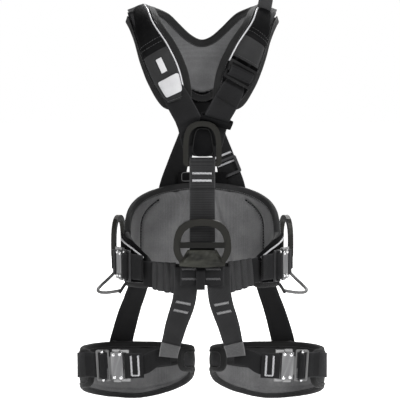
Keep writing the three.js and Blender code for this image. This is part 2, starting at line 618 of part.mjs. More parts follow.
// The back strap on the wearer's left has its own plain slide, on the inner face.
const backOut = v3(-0.217, -0.941, 0.025);
const backSlide = buckleFrame(v3(44.6, 122.6, 169).addScaledVector(backOut, 6.2), v3(44, -13, -108), backOut);
place(backSlide, 'back_adjuster', slideFrame(), 'frame');
root.add(backSlide);

root.updateMatrixWorld(true);
const extent = new THREE.Box3().setFromObject(root, true);
root.position.set(0, -(extent.min.y + extent.max.y) / 2, -extent.min.z);

export default root;
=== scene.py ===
"""Looks for the tree climbing saddle: webbing, padding, hardware finishes, studio and camera."""
import itertools
import json
import math

import bmesh
import bpy
import numpy as np
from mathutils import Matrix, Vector
from mathutils.kdtree import KDTree


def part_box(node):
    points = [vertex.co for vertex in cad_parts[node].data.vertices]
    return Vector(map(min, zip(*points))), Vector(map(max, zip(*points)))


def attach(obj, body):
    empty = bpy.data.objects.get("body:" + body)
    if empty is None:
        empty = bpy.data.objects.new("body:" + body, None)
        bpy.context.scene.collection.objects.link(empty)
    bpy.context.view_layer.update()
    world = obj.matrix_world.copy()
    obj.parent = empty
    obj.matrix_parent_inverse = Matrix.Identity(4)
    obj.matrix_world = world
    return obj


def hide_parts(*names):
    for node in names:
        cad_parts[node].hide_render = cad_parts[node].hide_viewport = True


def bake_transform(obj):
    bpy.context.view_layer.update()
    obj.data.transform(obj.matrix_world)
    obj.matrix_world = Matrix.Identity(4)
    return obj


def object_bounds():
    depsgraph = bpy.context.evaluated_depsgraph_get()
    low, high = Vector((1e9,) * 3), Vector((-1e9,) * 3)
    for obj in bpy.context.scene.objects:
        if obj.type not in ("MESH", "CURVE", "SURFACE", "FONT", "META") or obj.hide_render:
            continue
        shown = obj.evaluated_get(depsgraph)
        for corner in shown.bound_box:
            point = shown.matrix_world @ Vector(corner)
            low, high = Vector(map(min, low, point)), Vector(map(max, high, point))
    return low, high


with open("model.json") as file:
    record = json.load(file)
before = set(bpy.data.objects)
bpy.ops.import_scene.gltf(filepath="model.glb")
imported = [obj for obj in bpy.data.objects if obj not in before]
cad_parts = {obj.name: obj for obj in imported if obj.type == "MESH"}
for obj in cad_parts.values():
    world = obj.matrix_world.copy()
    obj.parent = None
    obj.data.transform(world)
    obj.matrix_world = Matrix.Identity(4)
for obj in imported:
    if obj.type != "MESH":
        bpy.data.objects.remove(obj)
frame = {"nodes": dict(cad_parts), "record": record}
CAD_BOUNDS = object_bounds()
NODES = frame["nodes"]
MM = 0.001


def middle(node):
    """The middle of a CAD node's box."""
    low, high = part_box(node)
    return (Vector(low) + Vector(high)) / 2


# The middle of the waist, level with the front belt webbing. Shapes below are laid out round it in mm.
WAIST_AT = middle("dorsal_plate") - Vector((0, 146.5, 262)) * MM


def place(x, y, z):
    """A point given in mm round the middle of the waist, in metres in the row frame."""
    return WAIST_AT + Vector((x, y, z)) * MM


# ---- Materials ----

class Finish:
    """One node material, built a node at a time."""

    def __init__(self, name, roughness=0.8, metallic=0.0, shine=0.25):
        self.material = bpy.data.materials.new(name)
        self.material.use_nodes = True
        self.tree = self.material.node_tree
        self.shader = self.tree.nodes["Principled BSDF"]
        self.shader.inputs["Roughness"].default_value = roughness
        self.shader.inputs["Metallic"].default_value = metallic
        self.shader.inputs["Specular IOR Level"].default_value = 0.5 if metallic else shine

    def node(self, kind, **inputs):
        made = self.tree.nodes.new("ShaderNode" + kind)
        for key, value in inputs.items():
            if key in {"operation", "attribute_name", "feature", "blend_type", "data_type"}:
                setattr(made, key, value)
            else:
                self.feed(made.inputs[int(key[1:]) if key[0] == "_" else key.replace("_", " ")], value)
        return made

    def feed(self, socket, value):
        if isinstance(value, bpy.types.NodeSocket):
            self.tree.links.new(value, socket)
        else:
            socket.default_value = value

    def math(self, operation, a, b=0.0, c=0.0):
        return self.node("Math", operation=operation, _0=a, _1=b, _2=c).outputs[0]

    def place(self, kind="Object"):
        return self.node("TexCoord").outputs[kind]

    def split(self, vector):
        return self.node("SeparateXYZ", Vector=vector).outputs

    def noise(self, scale, detail=3.0, vector=None, roughness=0.5):
        vector = vector or self.place()
        return self.node("TexNoise", Vector=vector, Scale=scale, Detail=detail, Roughness=roughness).outputs["Fac"]

    def ramp(self, amount, low, high, start=0.0, end=1.0):
        """A colour that runs from low to high as amount goes from start to end."""
        made = self.node("ValToRGB", Fac=amount)
        first, last = made.color_ramp.elements
        first.position, first.color = start, (*low, 1)
        last.position, last.color = end, (*high, 1)
        return made.outputs["Color"]

    def blend(self, amount, a, b, kind="MIX"):
        made = self.node("Mix", data_type="RGBA", blend_type=kind)
        for key, value in (("Factor", amount), ("A", a), ("B", b)):
            socket = next(i for i in made.inputs if i.name == key and i.enabled)
            self.feed(socket, (*value, 1) if isinstance(value, tuple) and len(value) == 3 else value)
        return next(o for o in made.outputs if o.enabled)

    def color(self, value):
        self.feed(self.shader.inputs["Base Color"], value)
        return self

    def rough(self, value):
        self.feed(self.shader.inputs["Roughness"], value)
        return self

    def sheen(self, weight, tint=(1, 1, 1)):
        self.shader.inputs["Sheen Weight"].default_value = weight
        self.shader.inputs["Sheen Roughness"].default_value = 0.5
        self.shader.inputs["Sheen Tint"].default_value = (*tint, 1)
        return self

    def bump(self, height, depth, strength=1.0):
        made = self.node("Bump", Height=height, Distance=depth, Strength=strength)
        socket = self.shader.inputs["Normal"]
        if socket.links:
            self.tree.links.new(socket.links[0].from_socket, made.inputs["Normal"])
        self.tree.links.new(made.outputs["Normal"], socket)
        return self


def weave(f, pitch_across, pitch_along):
    """Height of a plain weave, from UVs in metres: U across the band and V along it."""
    u, v, _ = f.split(f.place("UV"))
    column = f.math("DIVIDE", u, pitch_across)
    shift = f.math("MULTIPLY", f.math("FLOOR", column), 0.5)
    row = f.math("ADD", f.math("DIVIDE", v, pitch_along), shift)
    rise = f.math("ABSOLUTE", f.math("SINE", f.math("MULTIPLY", column, math.pi)))
    pick = f.math("ABSOLUTE", f.math("SINE", f.math("MULTIPLY", row, math.pi)))
    return f.math("MULTIPLY", f.math("POWER", rise, 0.6), f.math("POWER", pick, 0.5))


def webbing_finish(name, dark, light, depth=0.00035, rib=0.0):
    """Woven polyester webbing: herring of warp and weft, fuzz at the selvedges, dusty streaks, and painted shade in the
    valleys of ribbed webbing.
    """
    f = Finish(name, 0.78, shine=0.14)
    thread = weave(f, 0.0021, 0.0026)
    patchy = f.noise(38.0, 5.0)
    tone = f.ramp(f.math("ADD", f.math("MULTIPLY", thread, 0.7), f.math("MULTIPLY", patchy, 0.5)),
                  dark, light, 0.15, 1.0)
    if rib:
        # Ribbed webbing: thin dark lines at each rib pitch, painted shade in the valleys between the ribs.
        row = f.math("DIVIDE", f.split(f.place("UV"))[1], rib)
        rib_valley_shade = f.math("POWER", f.math("ABSOLUTE", f.math("COSINE", f.math("MULTIPLY", row, math.pi))), 6.0)
        tone = f.blend(f.math("MULTIPLY", rib_valley_shade, 0.6), tone, dark)
    edge = f.node("Attribute", attribute_name="edge").outputs["Fac"]
    worn = f.math("MULTIPLY", edge, f.math("ADD", 0.25, f.math("MULTIPLY", f.noise(220.0), 0.6)))
    f.color(f.blend(worn, tone, tuple(min(1, c * 2.0 + 0.008) for c in light)))
    f.rough(f.math("SUBTRACT", 0.92, f.math("MULTIPLY", thread, 0.22)))
    f.bump(f.noise(1500.0, 2.0), 0.0001, 0.4)
    f.bump(thread, depth)
    return f.sheen(0.04, (0.8, 0.8, 0.85)).material


def knit_finish(name, dark, light, cell=420.0, depth=0.0005):
    """Spacer-mesh lining: small rounded cells in slightly wavy rows, with soft shading."""
    f = Finish(name, 0.9)
    vector = f.place()
    cells = f.node("TexVoronoi", Vector=vector, Scale=cell, Randomness=0.35).outputs["Distance"]
    tone = f.math("ADD", f.math("MULTIPLY", f.noise(26.0, 4.0), 0.7), f.math("MULTIPLY", cells, 0.35))
    f.color(f.ramp(tone, dark, light, 0.2, 0.8))
    f.bump(f.noise(90.0, 3.0), 0.0006, 0.35)
    f.bump(cells, depth, 0.8)
    return f.sheen(0.2).material


def cloth_finish(name, dark, light, threads=5200.0, depth=0.00018, roughness=0.82, shine=0.25, sheen=0.06):
    """Coated pack cloth: a fine square weave, creases and scuffs."""
    f = Finish(name, roughness, shine=shine)
    x, y, z = f.split(f.place())
    warp = f.math("SINE", f.math("MULTIPLY", f.math("ADD", x, f.math("MULTIPLY", y, 0.7)), threads))
    weft = f.math("SINE", f.math("MULTIPLY", f.math("SUBTRACT", z, f.math("MULTIPLY", y, 0.3)), threads))
    cross = f.math("MULTIPLY", warp, weft)
    scuff = f.noise(17.0, 7.0, roughness=0.65)
    f.color(f.ramp(f.math("ADD", scuff, f.math("MULTIPLY", cross, 0.06)), dark, light, 0.32, 0.75))
    f.rough(f.math("ADD", roughness - 0.18, f.math("MULTIPLY", scuff, 0.3)))
    f.bump(f.noise(48.0, 4.0), 0.0007, 0.4)
    f.bump(cross, depth, 0.6)
    return f.sheen(sheen).material


def metal_finish(name, base, worn, roughness, streak=(1.0, 1.0, 1.0), wear=0.5, metallic=0.9):
    """Machined or forged metal: grain along one direction, smudges, and edges rubbed bright."""
    f = Finish(name, roughness, metallic)
    grain = f.noise(900.0, 4.0, f.node("Mapping", Vector=f.place(), Scale=streak).outputs["Vector"])
    smudge = f.noise(30.0, 5.0)
    edges = f.node("NewGeometry").outputs["Pointiness"]
    rubbed = f.math("MULTIPLY", f.node("MapRange", Value=edges, From_Min=0.51, From_Max=0.56).outputs[0],
                    f.math("ADD", wear * 0.5, f.math("MULTIPLY", smudge, wear)))
    tone = f.ramp(grain, tuple(c * 0.9 for c in base), tuple(min(1, c * 1.1) for c in base), 0.3, 0.7)
    f.color(f.blend(rubbed, tone, worn))
    f.rough(f.math("ADD", roughness - 0.1, f.math("MULTIPLY", smudge, 0.22)))
    f.bump(grain, 0.00006, 0.5)
    return f.material


def thread_finish(name, color, roughness=0.55):
    """Twisted sewing thread."""
    f = Finish(name, roughness)
    twist = f.noise(2600.0, 2.0)
    f.color(f.ramp(twist, tuple(c * 0.7 for c in color), tuple(min(1, c * 1.15) for c in color), 0.3, 0.7))
    return f.bump(twist, 0.00008).sheen(0.3).material


def leather_finish(name, dark, light):
    """Thin supple sleeve: pebbled grain over long soft creases, shinier on the ridges, with painted shade in the crease
    hollows and painted highlight on the ridges.
    """
    f = Finish(name, 0.6)
    pebble = f.node("TexVoronoi", Vector=f.place(), Scale=620.0, feature="SMOOTH_F1").outputs["Distance"]
    crease = f.noise(55.0, 6.0, f.node("Mapping", Vector=f.place(), Scale=(0.45, 1, 1.6)).outputs["Vector"])
    # Colour follows the crease height: painted shade in the hollows, painted highlight on the ridges.
    f.color(f.ramp(crease, dark, light, 0.35, 0.7))
    f.rough(f.math("SUBTRACT", 0.8, f.math("MULTIPLY", crease, 0.4)))
    f.bump(crease, 0.0016, 0.7)
    return f.bump(pebble, 0.0003, 0.6).material


LOOK = {
    "webbing": webbing_finish("black_webbing", (0.0035, 0.0035, 0.0038), (0.015, 0.015, 0.0158)),
    "webbing_gray": webbing_finish("charcoal_webbing", (0.007, 0.007, 0.0075), (0.031, 0.031, 0.032)),
    "webbing_ribbed": webbing_finish("ribbed_webbing", (0.007, 0.007, 0.0075), (0.036, 0.036, 0.037), rib=0.0042),
    "webbing_pale": webbing_finish("pale_grey_webbing", (0.045, 0.045, 0.046), (0.125, 0.125, 0.127)),
    "panel_web": webbing_finish("grey_webbing", (0.018, 0.018, 0.019), (0.050, 0.050, 0.051)),
    "deep_lining": knit_finish("deep_knit_lining", (0.072, 0.072, 0.074), (0.185, 0.185, 0.188)),
    "lining": knit_finish("knit_lining", (0.060, 0.060, 0.062), (0.150, 0.150, 0.153)),
    "cover": cloth_finish("pack_cloth", (0.0035, 0.0035, 0.0038), (0.012, 0.012, 0.0125), shine=0.03, sheen=0.0),
    "panel": cloth_finish("panel_cloth", (0.011, 0.011, 0.0115), (0.030, 0.030, 0.031), 4200.0),
    "binding": cloth_finish("binding_tape", (0.004, 0.004, 0.004), (0.014, 0.014, 0.0145), 3600.0, 0.0003),
    "ring": metal_finish("anodised_ring", (0.0034, 0.0034, 0.0026), (0.024, 0.023, 0.019), 0.52, wear=0.5, metallic=0.5),
    "slide": metal_finish("black_slide", (0.0035, 0.0035, 0.0037), (0.03, 0.03, 0.031), 0.24, wear=0.35, metallic=0.3),
    "plate": metal_finish("silver_plate", (0.17, 0.17, 0.174), (0.42, 0.42, 0.42), 0.38),
    "frame": metal_finish("dark_frame", (0.012, 0.012, 0.013), (0.075, 0.075, 0.078), 0.42, (0.1, 1, 1), metallic=0.5),
    "frame_gray": metal_finish("grey_frame", (0.055, 0.055, 0.056), (0.26, 0.26, 0.26), 0.38, (0.1, 1, 1)),
    "rivet": metal_finish("rivet_steel", (0.72, 0.72, 0.73), (0.95, 0.95, 0.95), 0.2),
    "loop": cloth_finish("loop_sheath", (0.085, 0.085, 0.085), (0.19, 0.19, 0.19), 2600.0, 0.0002, 0.55),
    "sleeve": leather_finish("sleeve_leather", (0.006, 0.006, 0.0048), (0.036, 0.0365, 0.029)),
    "reflective": thread_finish("reflective_thread", (0.62, 0.62, 0.64), 0.3),
    # A dim grey tape, much darker than the reflective thread.
    "dim_tape": thread_finish("worn_tape", (0.085, 0.085, 0.088)),
    "soft_tape": thread_finish("soft_tape", (0.28, 0.28, 0.285), 0.4),
    "thread": thread_finish("black_thread", (0.030, 0.030, 0.032)),
    "gray_thread": thread_finish("grey_thread", (0.16, 0.16, 0.165)),
    "label": cloth_finish("label_patch", (0.50, 0.50, 0.51), (0.66, 0.66, 0.67), 5200.0, 0.00008, 0.6),
}


# ---- Meshes ----

def add_mesh(name, points, faces, look, uvs=None, edge=None):
    """A smooth-shaded mesh object. uvs and edge are given per point."""
    mesh = bpy.data.meshes.new(name)
    mesh.from_pydata([tuple(p) for p in points], [], [tuple(int(i) for i in f) for f in faces])
    mesh.materials.append(LOOK[look])
    mesh.polygons.foreach_set("use_smooth", [True] * len(mesh.polygons))
    if uvs is not None:
        corners = np.zeros(len(mesh.loops), int)
        mesh.loops.foreach_get("vertex_index", corners)
        mesh.uv_layers.new(name="UVMap").data.foreach_set("uv", np.asarray(uvs)[corners].ravel())
    if edge is not None:
        mesh.attributes.new("edge", "FLOAT", "POINT").data.foreach_set("value", np.asarray(edge, float))
    made = bpy.data.objects.new(name, mesh)
    bpy.context.collection.objects.link(made)
    return made


def ring_faces(count, size, closed=False):
    """Quads of a skin over count rings of size points, with end caps unless it closes on itself."""
    faces = []
    for i in range(count if closed else count - 1):
        a, b = i * size, ((i + 1) % count) * size
        faces += [(a + j, a + (j + 1) % size, b + (j + 1) % size, b + j) for j in range(size)]
    if not closed:
        faces.append(tuple(range(size))[::-1])
        faces.append(tuple((count - 1) * size + j for j in range(size)))
    return faces


def add_loft(name, rings, look, closed=False, uvs=None, edge=None):
    rings = np.asarray(rings)
    count, size, _ = rings.shape
    return add_mesh(name, rings.reshape(-1, 3), ring_faces(count, size, closed), look, uvs, edge)


def unit(vectors):
    return vectors / np.maximum(np.linalg.norm(vectors, axis=-1, keepdims=True), 1e-12)


def spline(values, index):
    """Values between the rows of a table, by a smooth curve through them; index may be fractional."""
    index = np.clip(index, 0, len(values) - 1)
    i = np.minimum(index.astype(int), len(values) - 2)
    t = (index - i)[:, None]
    a, b, c, d = (values[np.clip(i + k, 0, len(values) - 1)] for k in (-1, 0, 1, 2))
    return b + 0.5 * t * (c - a + t * (2 * a - 5 * b + 4 * c - d + t * (3 * (b - c) + d - a)))


def soft(x, low, high):
    t = np.clip((x - low) / (high - low), 0, 1)
    return t * t * (3 - 2 * t)


class Band:
    """A strap's path, in metres: its middle, a unit vector across it, one out of its face, its half width."""

    def __init__(self, centre, across, out, half):
        self.centre, self.across, self.out, self.half = centre, across, out, half
        steps = np.linalg.norm(np.diff(centre, axis=0), axis=1)
        self.s = np.concatenate([[0], np.cumsum(steps)])
        self.length = self.s[-1]

    def at(self, s):
        index = np.interp(np.atleast_1d(s), self.s, np.arange(len(self.s)))
        half = np.interp(index, np.arange(len(self.half)), self.half)
        return (spline(self.centre, index), unit(spline(self.across, index)),
                unit(spline(self.out, index)), half)

    def point(self, s, f, lift):
        """Points at distances s along, f of the half width across, lift metres above the middle."""
        centre, across, out, half = self.at(s)
        return centre + across * (np.asarray(f) * half)[:, None] + out * np.broadcast_to(lift, half.shape)[:, None]

    def part(self, start, end):
        """The stretch between two distances along the band."""
        s = np.linspace(start, end, max(4, int(abs(end - start) / 0.003)))
        return Band(*self.at(s))

    def facing(self, direction):
        """The same band with its out vectors on the side of a direction, taken at its middle sample."""
        pick = len(self.centre) // 2
        sign = 1 if np.dot(self.out[pick], direction) >= 0 else -1
        return Band(self.centre, self.across, self.out * sign, self.half)


def cad_rings(points, near, first):
    """Rings of four points, each joined to the one before, from a first ring in corner order."""
    rings = [first]
    seen = set(first)
    while True:
        last = rings[-1]
        ahead = set().union(*(near[p] for p in last)) - seen
        if len(ahead) != 4:
            return rings if not ahead else []
        choices = [c for c in itertools.permutations(ahead) if all(q in near[p] for p, q in zip(last, c))]
        if not choices:
            return []
        shift = points[list(ahead)].mean(axis=0) - points[last].mean(axis=0)
        rings.append(list(min(choices, key=lambda c: ((points[list(c)] - points[last] - shift) ** 2).sum())))
        seen |= ahead


def cad_band(node, start_near=None):
    """Reads a strap's path back from its CAD solid, which is a run of thin rectangular rings."""
    mesh = NODES[node].data
    corners = np.array([v.co[:] for v in mesh.vertices])
    points, index = np.unique(np.round(corners, 6), axis=0, return_inverse=True)
    index = index.ravel()
    near = [set() for _ in points]
    edges = {}
    for face in mesh.polygons:
        face = [int(index[v]) for v in face.vertices]
        for a, b in zip(face, face[1:] + face[:1]):
            near[a].add(b)
            near[b].add(a)
            edges.setdefault(frozenset((a, b)), []).append(face)
    found = []
    for faces in edges.values():
        ring = sorted(set(faces[0]) | set(faces[-1]))
        if len(ring) != 4:
            continue
        # Corner order: two on one face of the strap, then their partners through its thickness.
        a = ring[0]
        gaps = sorted((np.linalg.norm(points[p] - points[a]), p) for p in ring[1:])
        order = [a, gaps[1][1], gaps[2][1], gaps[0][1]]
        if 0.0015 < gaps[0][0] < 0.0021:
            rings = cad_rings(points, near, order)
            if 4 * len(rings) == len(points):
                found.append(rings)
    table = points[np.array(found[0])]
    if start_near is not None:
        ends = [np.linalg.norm(table[k].mean(axis=0) - np.array(start_near)) for k in (0, -1)]
        table = table if ends[0] < ends[1] else table[::-1]
    across = (table[:, 1] - table[:, 0]) + (table[:, 2] - table[:, 3])
    out = (table[:, 0] - table[:, 3]) + (table[:, 1] - table[:, 2])
    half = np.linalg.norm(across, axis=1) / 4
    return Band(table.mean(axis=1), unit(across), unit(out), half)


# ---- Webbing, cords and stitching ----

# Across a strap: place as a share of the half width, and the half thickness there as a share of the full.
WEB_PROFILE = np.array([(-1, 0.18), (-0.988, 0.40), (-0.955, 0.54), (-0.91, 0.50), (-0.6, 0.47), (-0.3, 0.5),
                        (0, 0.5), (0.3, 0.5), (0.6, 0.47), (0.91, 0.50), (0.955, 0.54), (0.988, 0.40), (1, 0.18)])


def waves(s, seed, size):
    """A gentle, repeatable unevenness along a length in metres."""
    dice = np.random.RandomState(seed)
    total = sum(np.sin(s * 2 * math.pi / period + dice.uniform(0, 6.3)) for period in (0.031, 0.053, 0.117))
    return size * total / 3


def add_webbing(name, band, look, thick=0.0019, step=0.0024, seed=1, wave=0.0003):
    """A woven strap along a band, with thicker selvedges and a little unevenness."""
    s = np.linspace(0, band.length, max(8, int(band.length / step)))
    centre, across, out, half = band.at(s)
    place_across, rise = WEB_PROFILE.T
    f = np.concatenate([place_across, place_across[::-1]])
    h = np.concatenate([rise, -rise[::-1]]) * thick
    curl = waves(s, seed, wave)[:, None] * (1 - 0.4 * f ** 2) + waves(s, seed + 50, wave * 0.8)[:, None] * f
    width = half[:, None] * (f + waves(s, seed + 90, 0.008)[:, None] * f)
    rings = (centre[:, None] + across[:, None] * width[..., None] + out[:, None] * (h + curl)[..., None])
    uvs = np.stack([np.broadcast_to(width, (len(s), len(f))), np.broadcast_to(s[:, None], (len(s), len(f)))], -1)
    edge = np.broadcast_to(np.clip((np.abs(f) - 0.9) * 12, 0, 1), (len(s), len(f)))
    return add_loft(name, rings, look, uvs=uvs.reshape(-1, 2), edge=edge.ravel())


def path_frames(points, closed=False):
    """Directions along a polyline, and two more square to it that don't twist."""
    points = np.asarray(points)
    along = np.roll(points, -1, 0) - np.roll(points, 1, 0)
    if not closed:
        along[0], along[-1] = points[1] - points[0], points[-1] - points[-2]
    along = unit(along)
    side = np.cross(along[0], (0, 0, 1.0))
    if np.linalg.norm(side) < 0.1:
        side = np.cross(along[0], (1.0, 0, 0))
    sides = [side / np.linalg.norm(side)]
    for t in along[1:]:
        s = sides[-1] - t * np.dot(sides[-1], t)
        sides.append(s / np.linalg.norm(s))
    sides = np.array(sides)
    return along, sides, np.cross(along, sides)


def smooth_path(points, step=0.002):
    """A polyline of even steps along a smooth curve through points."""
    points = np.asarray(points, float)
    fine = spline(points, np.linspace(0, len(points) - 1, 24 * len(points)))
    s = np.concatenate([[0], np.cumsum(np.linalg.norm(np.diff(fine, axis=0), axis=1))])
    even = np.linspace(0, s[-1], max(3, int(s[-1] / step)))
    return np.stack([np.interp(even, s, fine[:, k]) for k in range(3)], -1)


def add_cord(name, points, radius, look, closed=False, sides=10, flat=1.0):
    """A round or flattened cord along a polyline."""
    points = np.asarray(points)
    along, side, up = path_frames(points, closed)
    angle = np.arange(sides) * 2 * math.pi / sides
    radius = np.broadcast_to(radius, len(points))[:, None, None]
    rings = points[:, None] + radius * (np.cos(angle)[None, :, None] * side[:, None]
                                        + flat * np.sin(angle)[None, :, None] * up[:, None])
    s = np.concatenate([[0], np.cumsum(np.linalg.norm(np.diff(points, axis=0), axis=1))])
    u = np.broadcast_to(angle * float(np.max(radius)), (len(points), sides))
    uvs = np.stack([u, np.broadcast_to(s[:, None], u.shape)], -1).reshape(-1, 2)
    return add_loft(name, rings, look, closed, uvs)


class Thread:
    """Gathers stitches, each a small bowed capsule, and makes one mesh of them."""
    SIDES = 5
    BOW = np.array([(0.0, 0.35, -0.3), (0.12, 0.9, 0.5), (0.5, 1.0, 1.0), (0.88, 0.9, 0.5), (1.0, 0.35, -0.3)])

    def __init__(self, radius=0.00034):
        self.radius = radius
        self.rings = []

    def stitch(self, a, b, out):
        a, b, out = (np.asarray(p, float) for p in (a, b, out))
        along = (b - a) / max(np.linalg.norm(b - a), 1e-9)
        side = np.cross(out, along)
        side /= max(np.linalg.norm(side), 1e-9)
        angle = np.arange(self.SIDES) * 2 * math.pi / self.SIDES
        circle = np.cos(angle)[:, None] * side + np.sin(angle)[:, None] * out
        for t, girth, lift in self.BOW:
            self.rings.append(a + (b - a) * t + out * lift * self.radius * 0.8 + circle * self.radius * girth)

    def run(self, points, outs, length=0.0036, gap=0.0012):
        """Stitches in a row along a polyline on a surface, with the surface's outward vectors."""
        points = np.asarray(points)
        outs = np.broadcast_to(outs, points.shape)
        s = np.concatenate([[0], np.cumsum(np.linalg.norm(np.diff(points, axis=0), axis=1))])
        index = np.arange(len(points))
        for start in np.arange(gap, s[-1] - length, length + gap):
            i, j = np.interp((start, start + length), s, index)
            a, b = (np.array([np.interp(k, index, points[:, c]) for c in range(3)]) for k in (i, j))
            self.stitch(a, b, outs[int(round(i))])
        return self

    def add(self, name, look):
        size, count = self.SIDES, len(self.rings)
        rings = np.array(self.rings).reshape(-1, 3)
        faces = []
        for k in range(0, count, len(self.BOW)):
            faces += [tuple(k * size + i for i in face) for face in ring_faces(len(self.BOW), size)]
        return add_mesh(name, rings, faces, look)


def sew_line(thread, band, f, start, end, lift):
    s = np.linspace(start, end, max(3, int(abs(end - start) / 0.002)))
    thread.run(band.point(s, np.full(len(s), f), lift), band.at(s)[2])


def sew_across(thread, band, s, f0, f1, lift):
    f = np.linspace(f0, f1, 24)
    thread.run(band.point(np.full(24, s), f, lift), band.at(np.full(24, s))[2], 0.003, 0.0009)


def sew_box(thread, band, start, end, lift, inset=0.82):
    """The box with a cross in it that holds two layers of webbing together."""
    for f in (-inset, inset):
        sew_line(thread, band, f, start, end, lift)
    for s in (start, end):
        sew_across(thread, band, s, -inset, inset, lift)
    steps = np.linspace(0, 1, 24)
    for sign in (1, -1):
        s = start + (end - start) * steps
        thread.run(band.point(s, sign * inset * (2 * steps - 1), lift), band.at(s)[2])


def tack_across(thread, band, s, lift, tall=0.0026, f0=-0.84, f1=0.84, pitch=0.0011):
    """A dense zigzag bar across a strap."""
    width = 2 * band.at(s)[3][0]
    count = int(width * (f1 - f0) / 2 / pitch)
    f = np.linspace(f0, f1, count)
    along = s + np.where(np.arange(count) % 2, tall / 2, -tall / 2)
    points = band.point(along, f, lift)
    outs = band.at(along)[2]
    for i in range(count - 1):
        thread.stitch(points[i], points[i + 1], outs[i])


def tack_along(thread, band, f, start, end, lift, tall=0.0026, pitch=0.0011):
    """A dense zigzag bar along a strap."""
    count = int(abs(end - start) / pitch)
    s = np.linspace(start, end, count)
    half = band.at(s)[3]
    points = band.point(s, f + np.where(np.arange(count) % 2, 1, -1) * tall / 2 / half, lift)
    outs = band.at(s)[2]
    for i in range(count - 1):
        thread.stitch(points[i], points[i + 1], outs[i])


def add_sheet(name, top, outs, look, thick=0.0012, uvs=True):
    """A thin cloth sheet: a grid of points on its outer face, with the outward vector at each."""
    rows, columns, _ = top.shape
    layers = np.stack([top, top - outs * thick])
    at = lambda layer, i, j: (layer * rows + i) * columns + j
    faces = []
    for i in range(rows - 1):
        for j in range(columns - 1):
            quad = (i, j), (i + 1, j), (i + 1, j + 1), (i, j + 1)
            faces.append([at(0, *q) for q in quad])
            faces.append([at(1, *q) for q in quad][::-1])
    rim = [(i, 0) for i in range(rows)] + [(rows - 1, j) for j in range(1, columns)]
    rim += [(i, columns - 1) for i in range(rows - 2, -1, -1)] + [(0, j) for j in range(columns - 2, 0, -1)]
    for a, b in zip(rim, rim[1:] + rim[:1]):
        faces.append([at(0, *b), at(0, *a), at(1, *a), at(1, *b)])
    length = lambda axis: np.cumsum(np.linalg.norm(np.diff(top, axis=axis, prepend=np.take(top, [0], axis)), axis=2), axis)
    across = length(1)
    flat = np.stack([across - across.max(axis=1, keepdims=True) / 2, length(0)], -1).reshape(-1, 2)
    return add_mesh(name, layers.reshape(-1, 3), faces, look, np.concatenate([flat, flat]))


def add_keeper(name, band, s, look="webbing", wide=0.012, low=-0.003, high=0.003, beyond=0.0015, thick=0.0014):
    """A short sleeve of tape round a strap, at s along it."""
    half = band.at(s)[3][0] + beyond
    turns = 48
    angle = np.arange(turns) * 2 * math.pi / turns
    square = lambda c: np.sign(c) * np.abs(c) ** 0.35
    f, h = square(np.cos(angle)), square(np.sin(angle))
    mid, tall = (high + low) / 2, (high - low) / 2
    centre, across, out, _ = (part[0] for part in band.at(s))
    along = unit(np.cross(across, out))
    rings = []
    for grow, shift in ((0, -0.5), (0, 0.5), (1, 0.5), (1, -0.5)):
        reach = f * (half + grow * thick)
        lift = mid + h * (tall + grow * thick)
        rings.append(centre + across * reach[:, None] + out * lift[:, None] + along * shift * wide)
    return add_loft(name, np.array(rings).transpose(1, 0, 2), look, closed=True)


# ---- Pads ----

def blunt(along, length, radius=16.0, least=0.45):
    """How much of its height a pad keeps near its ends, which rounds its corners."""
    edge = np.minimum(along, 1 - along) * length
    t = np.clip(1 - edge / radius, 0, 1)
    return least + (1 - least) * np.sqrt(1 - t ** 2)


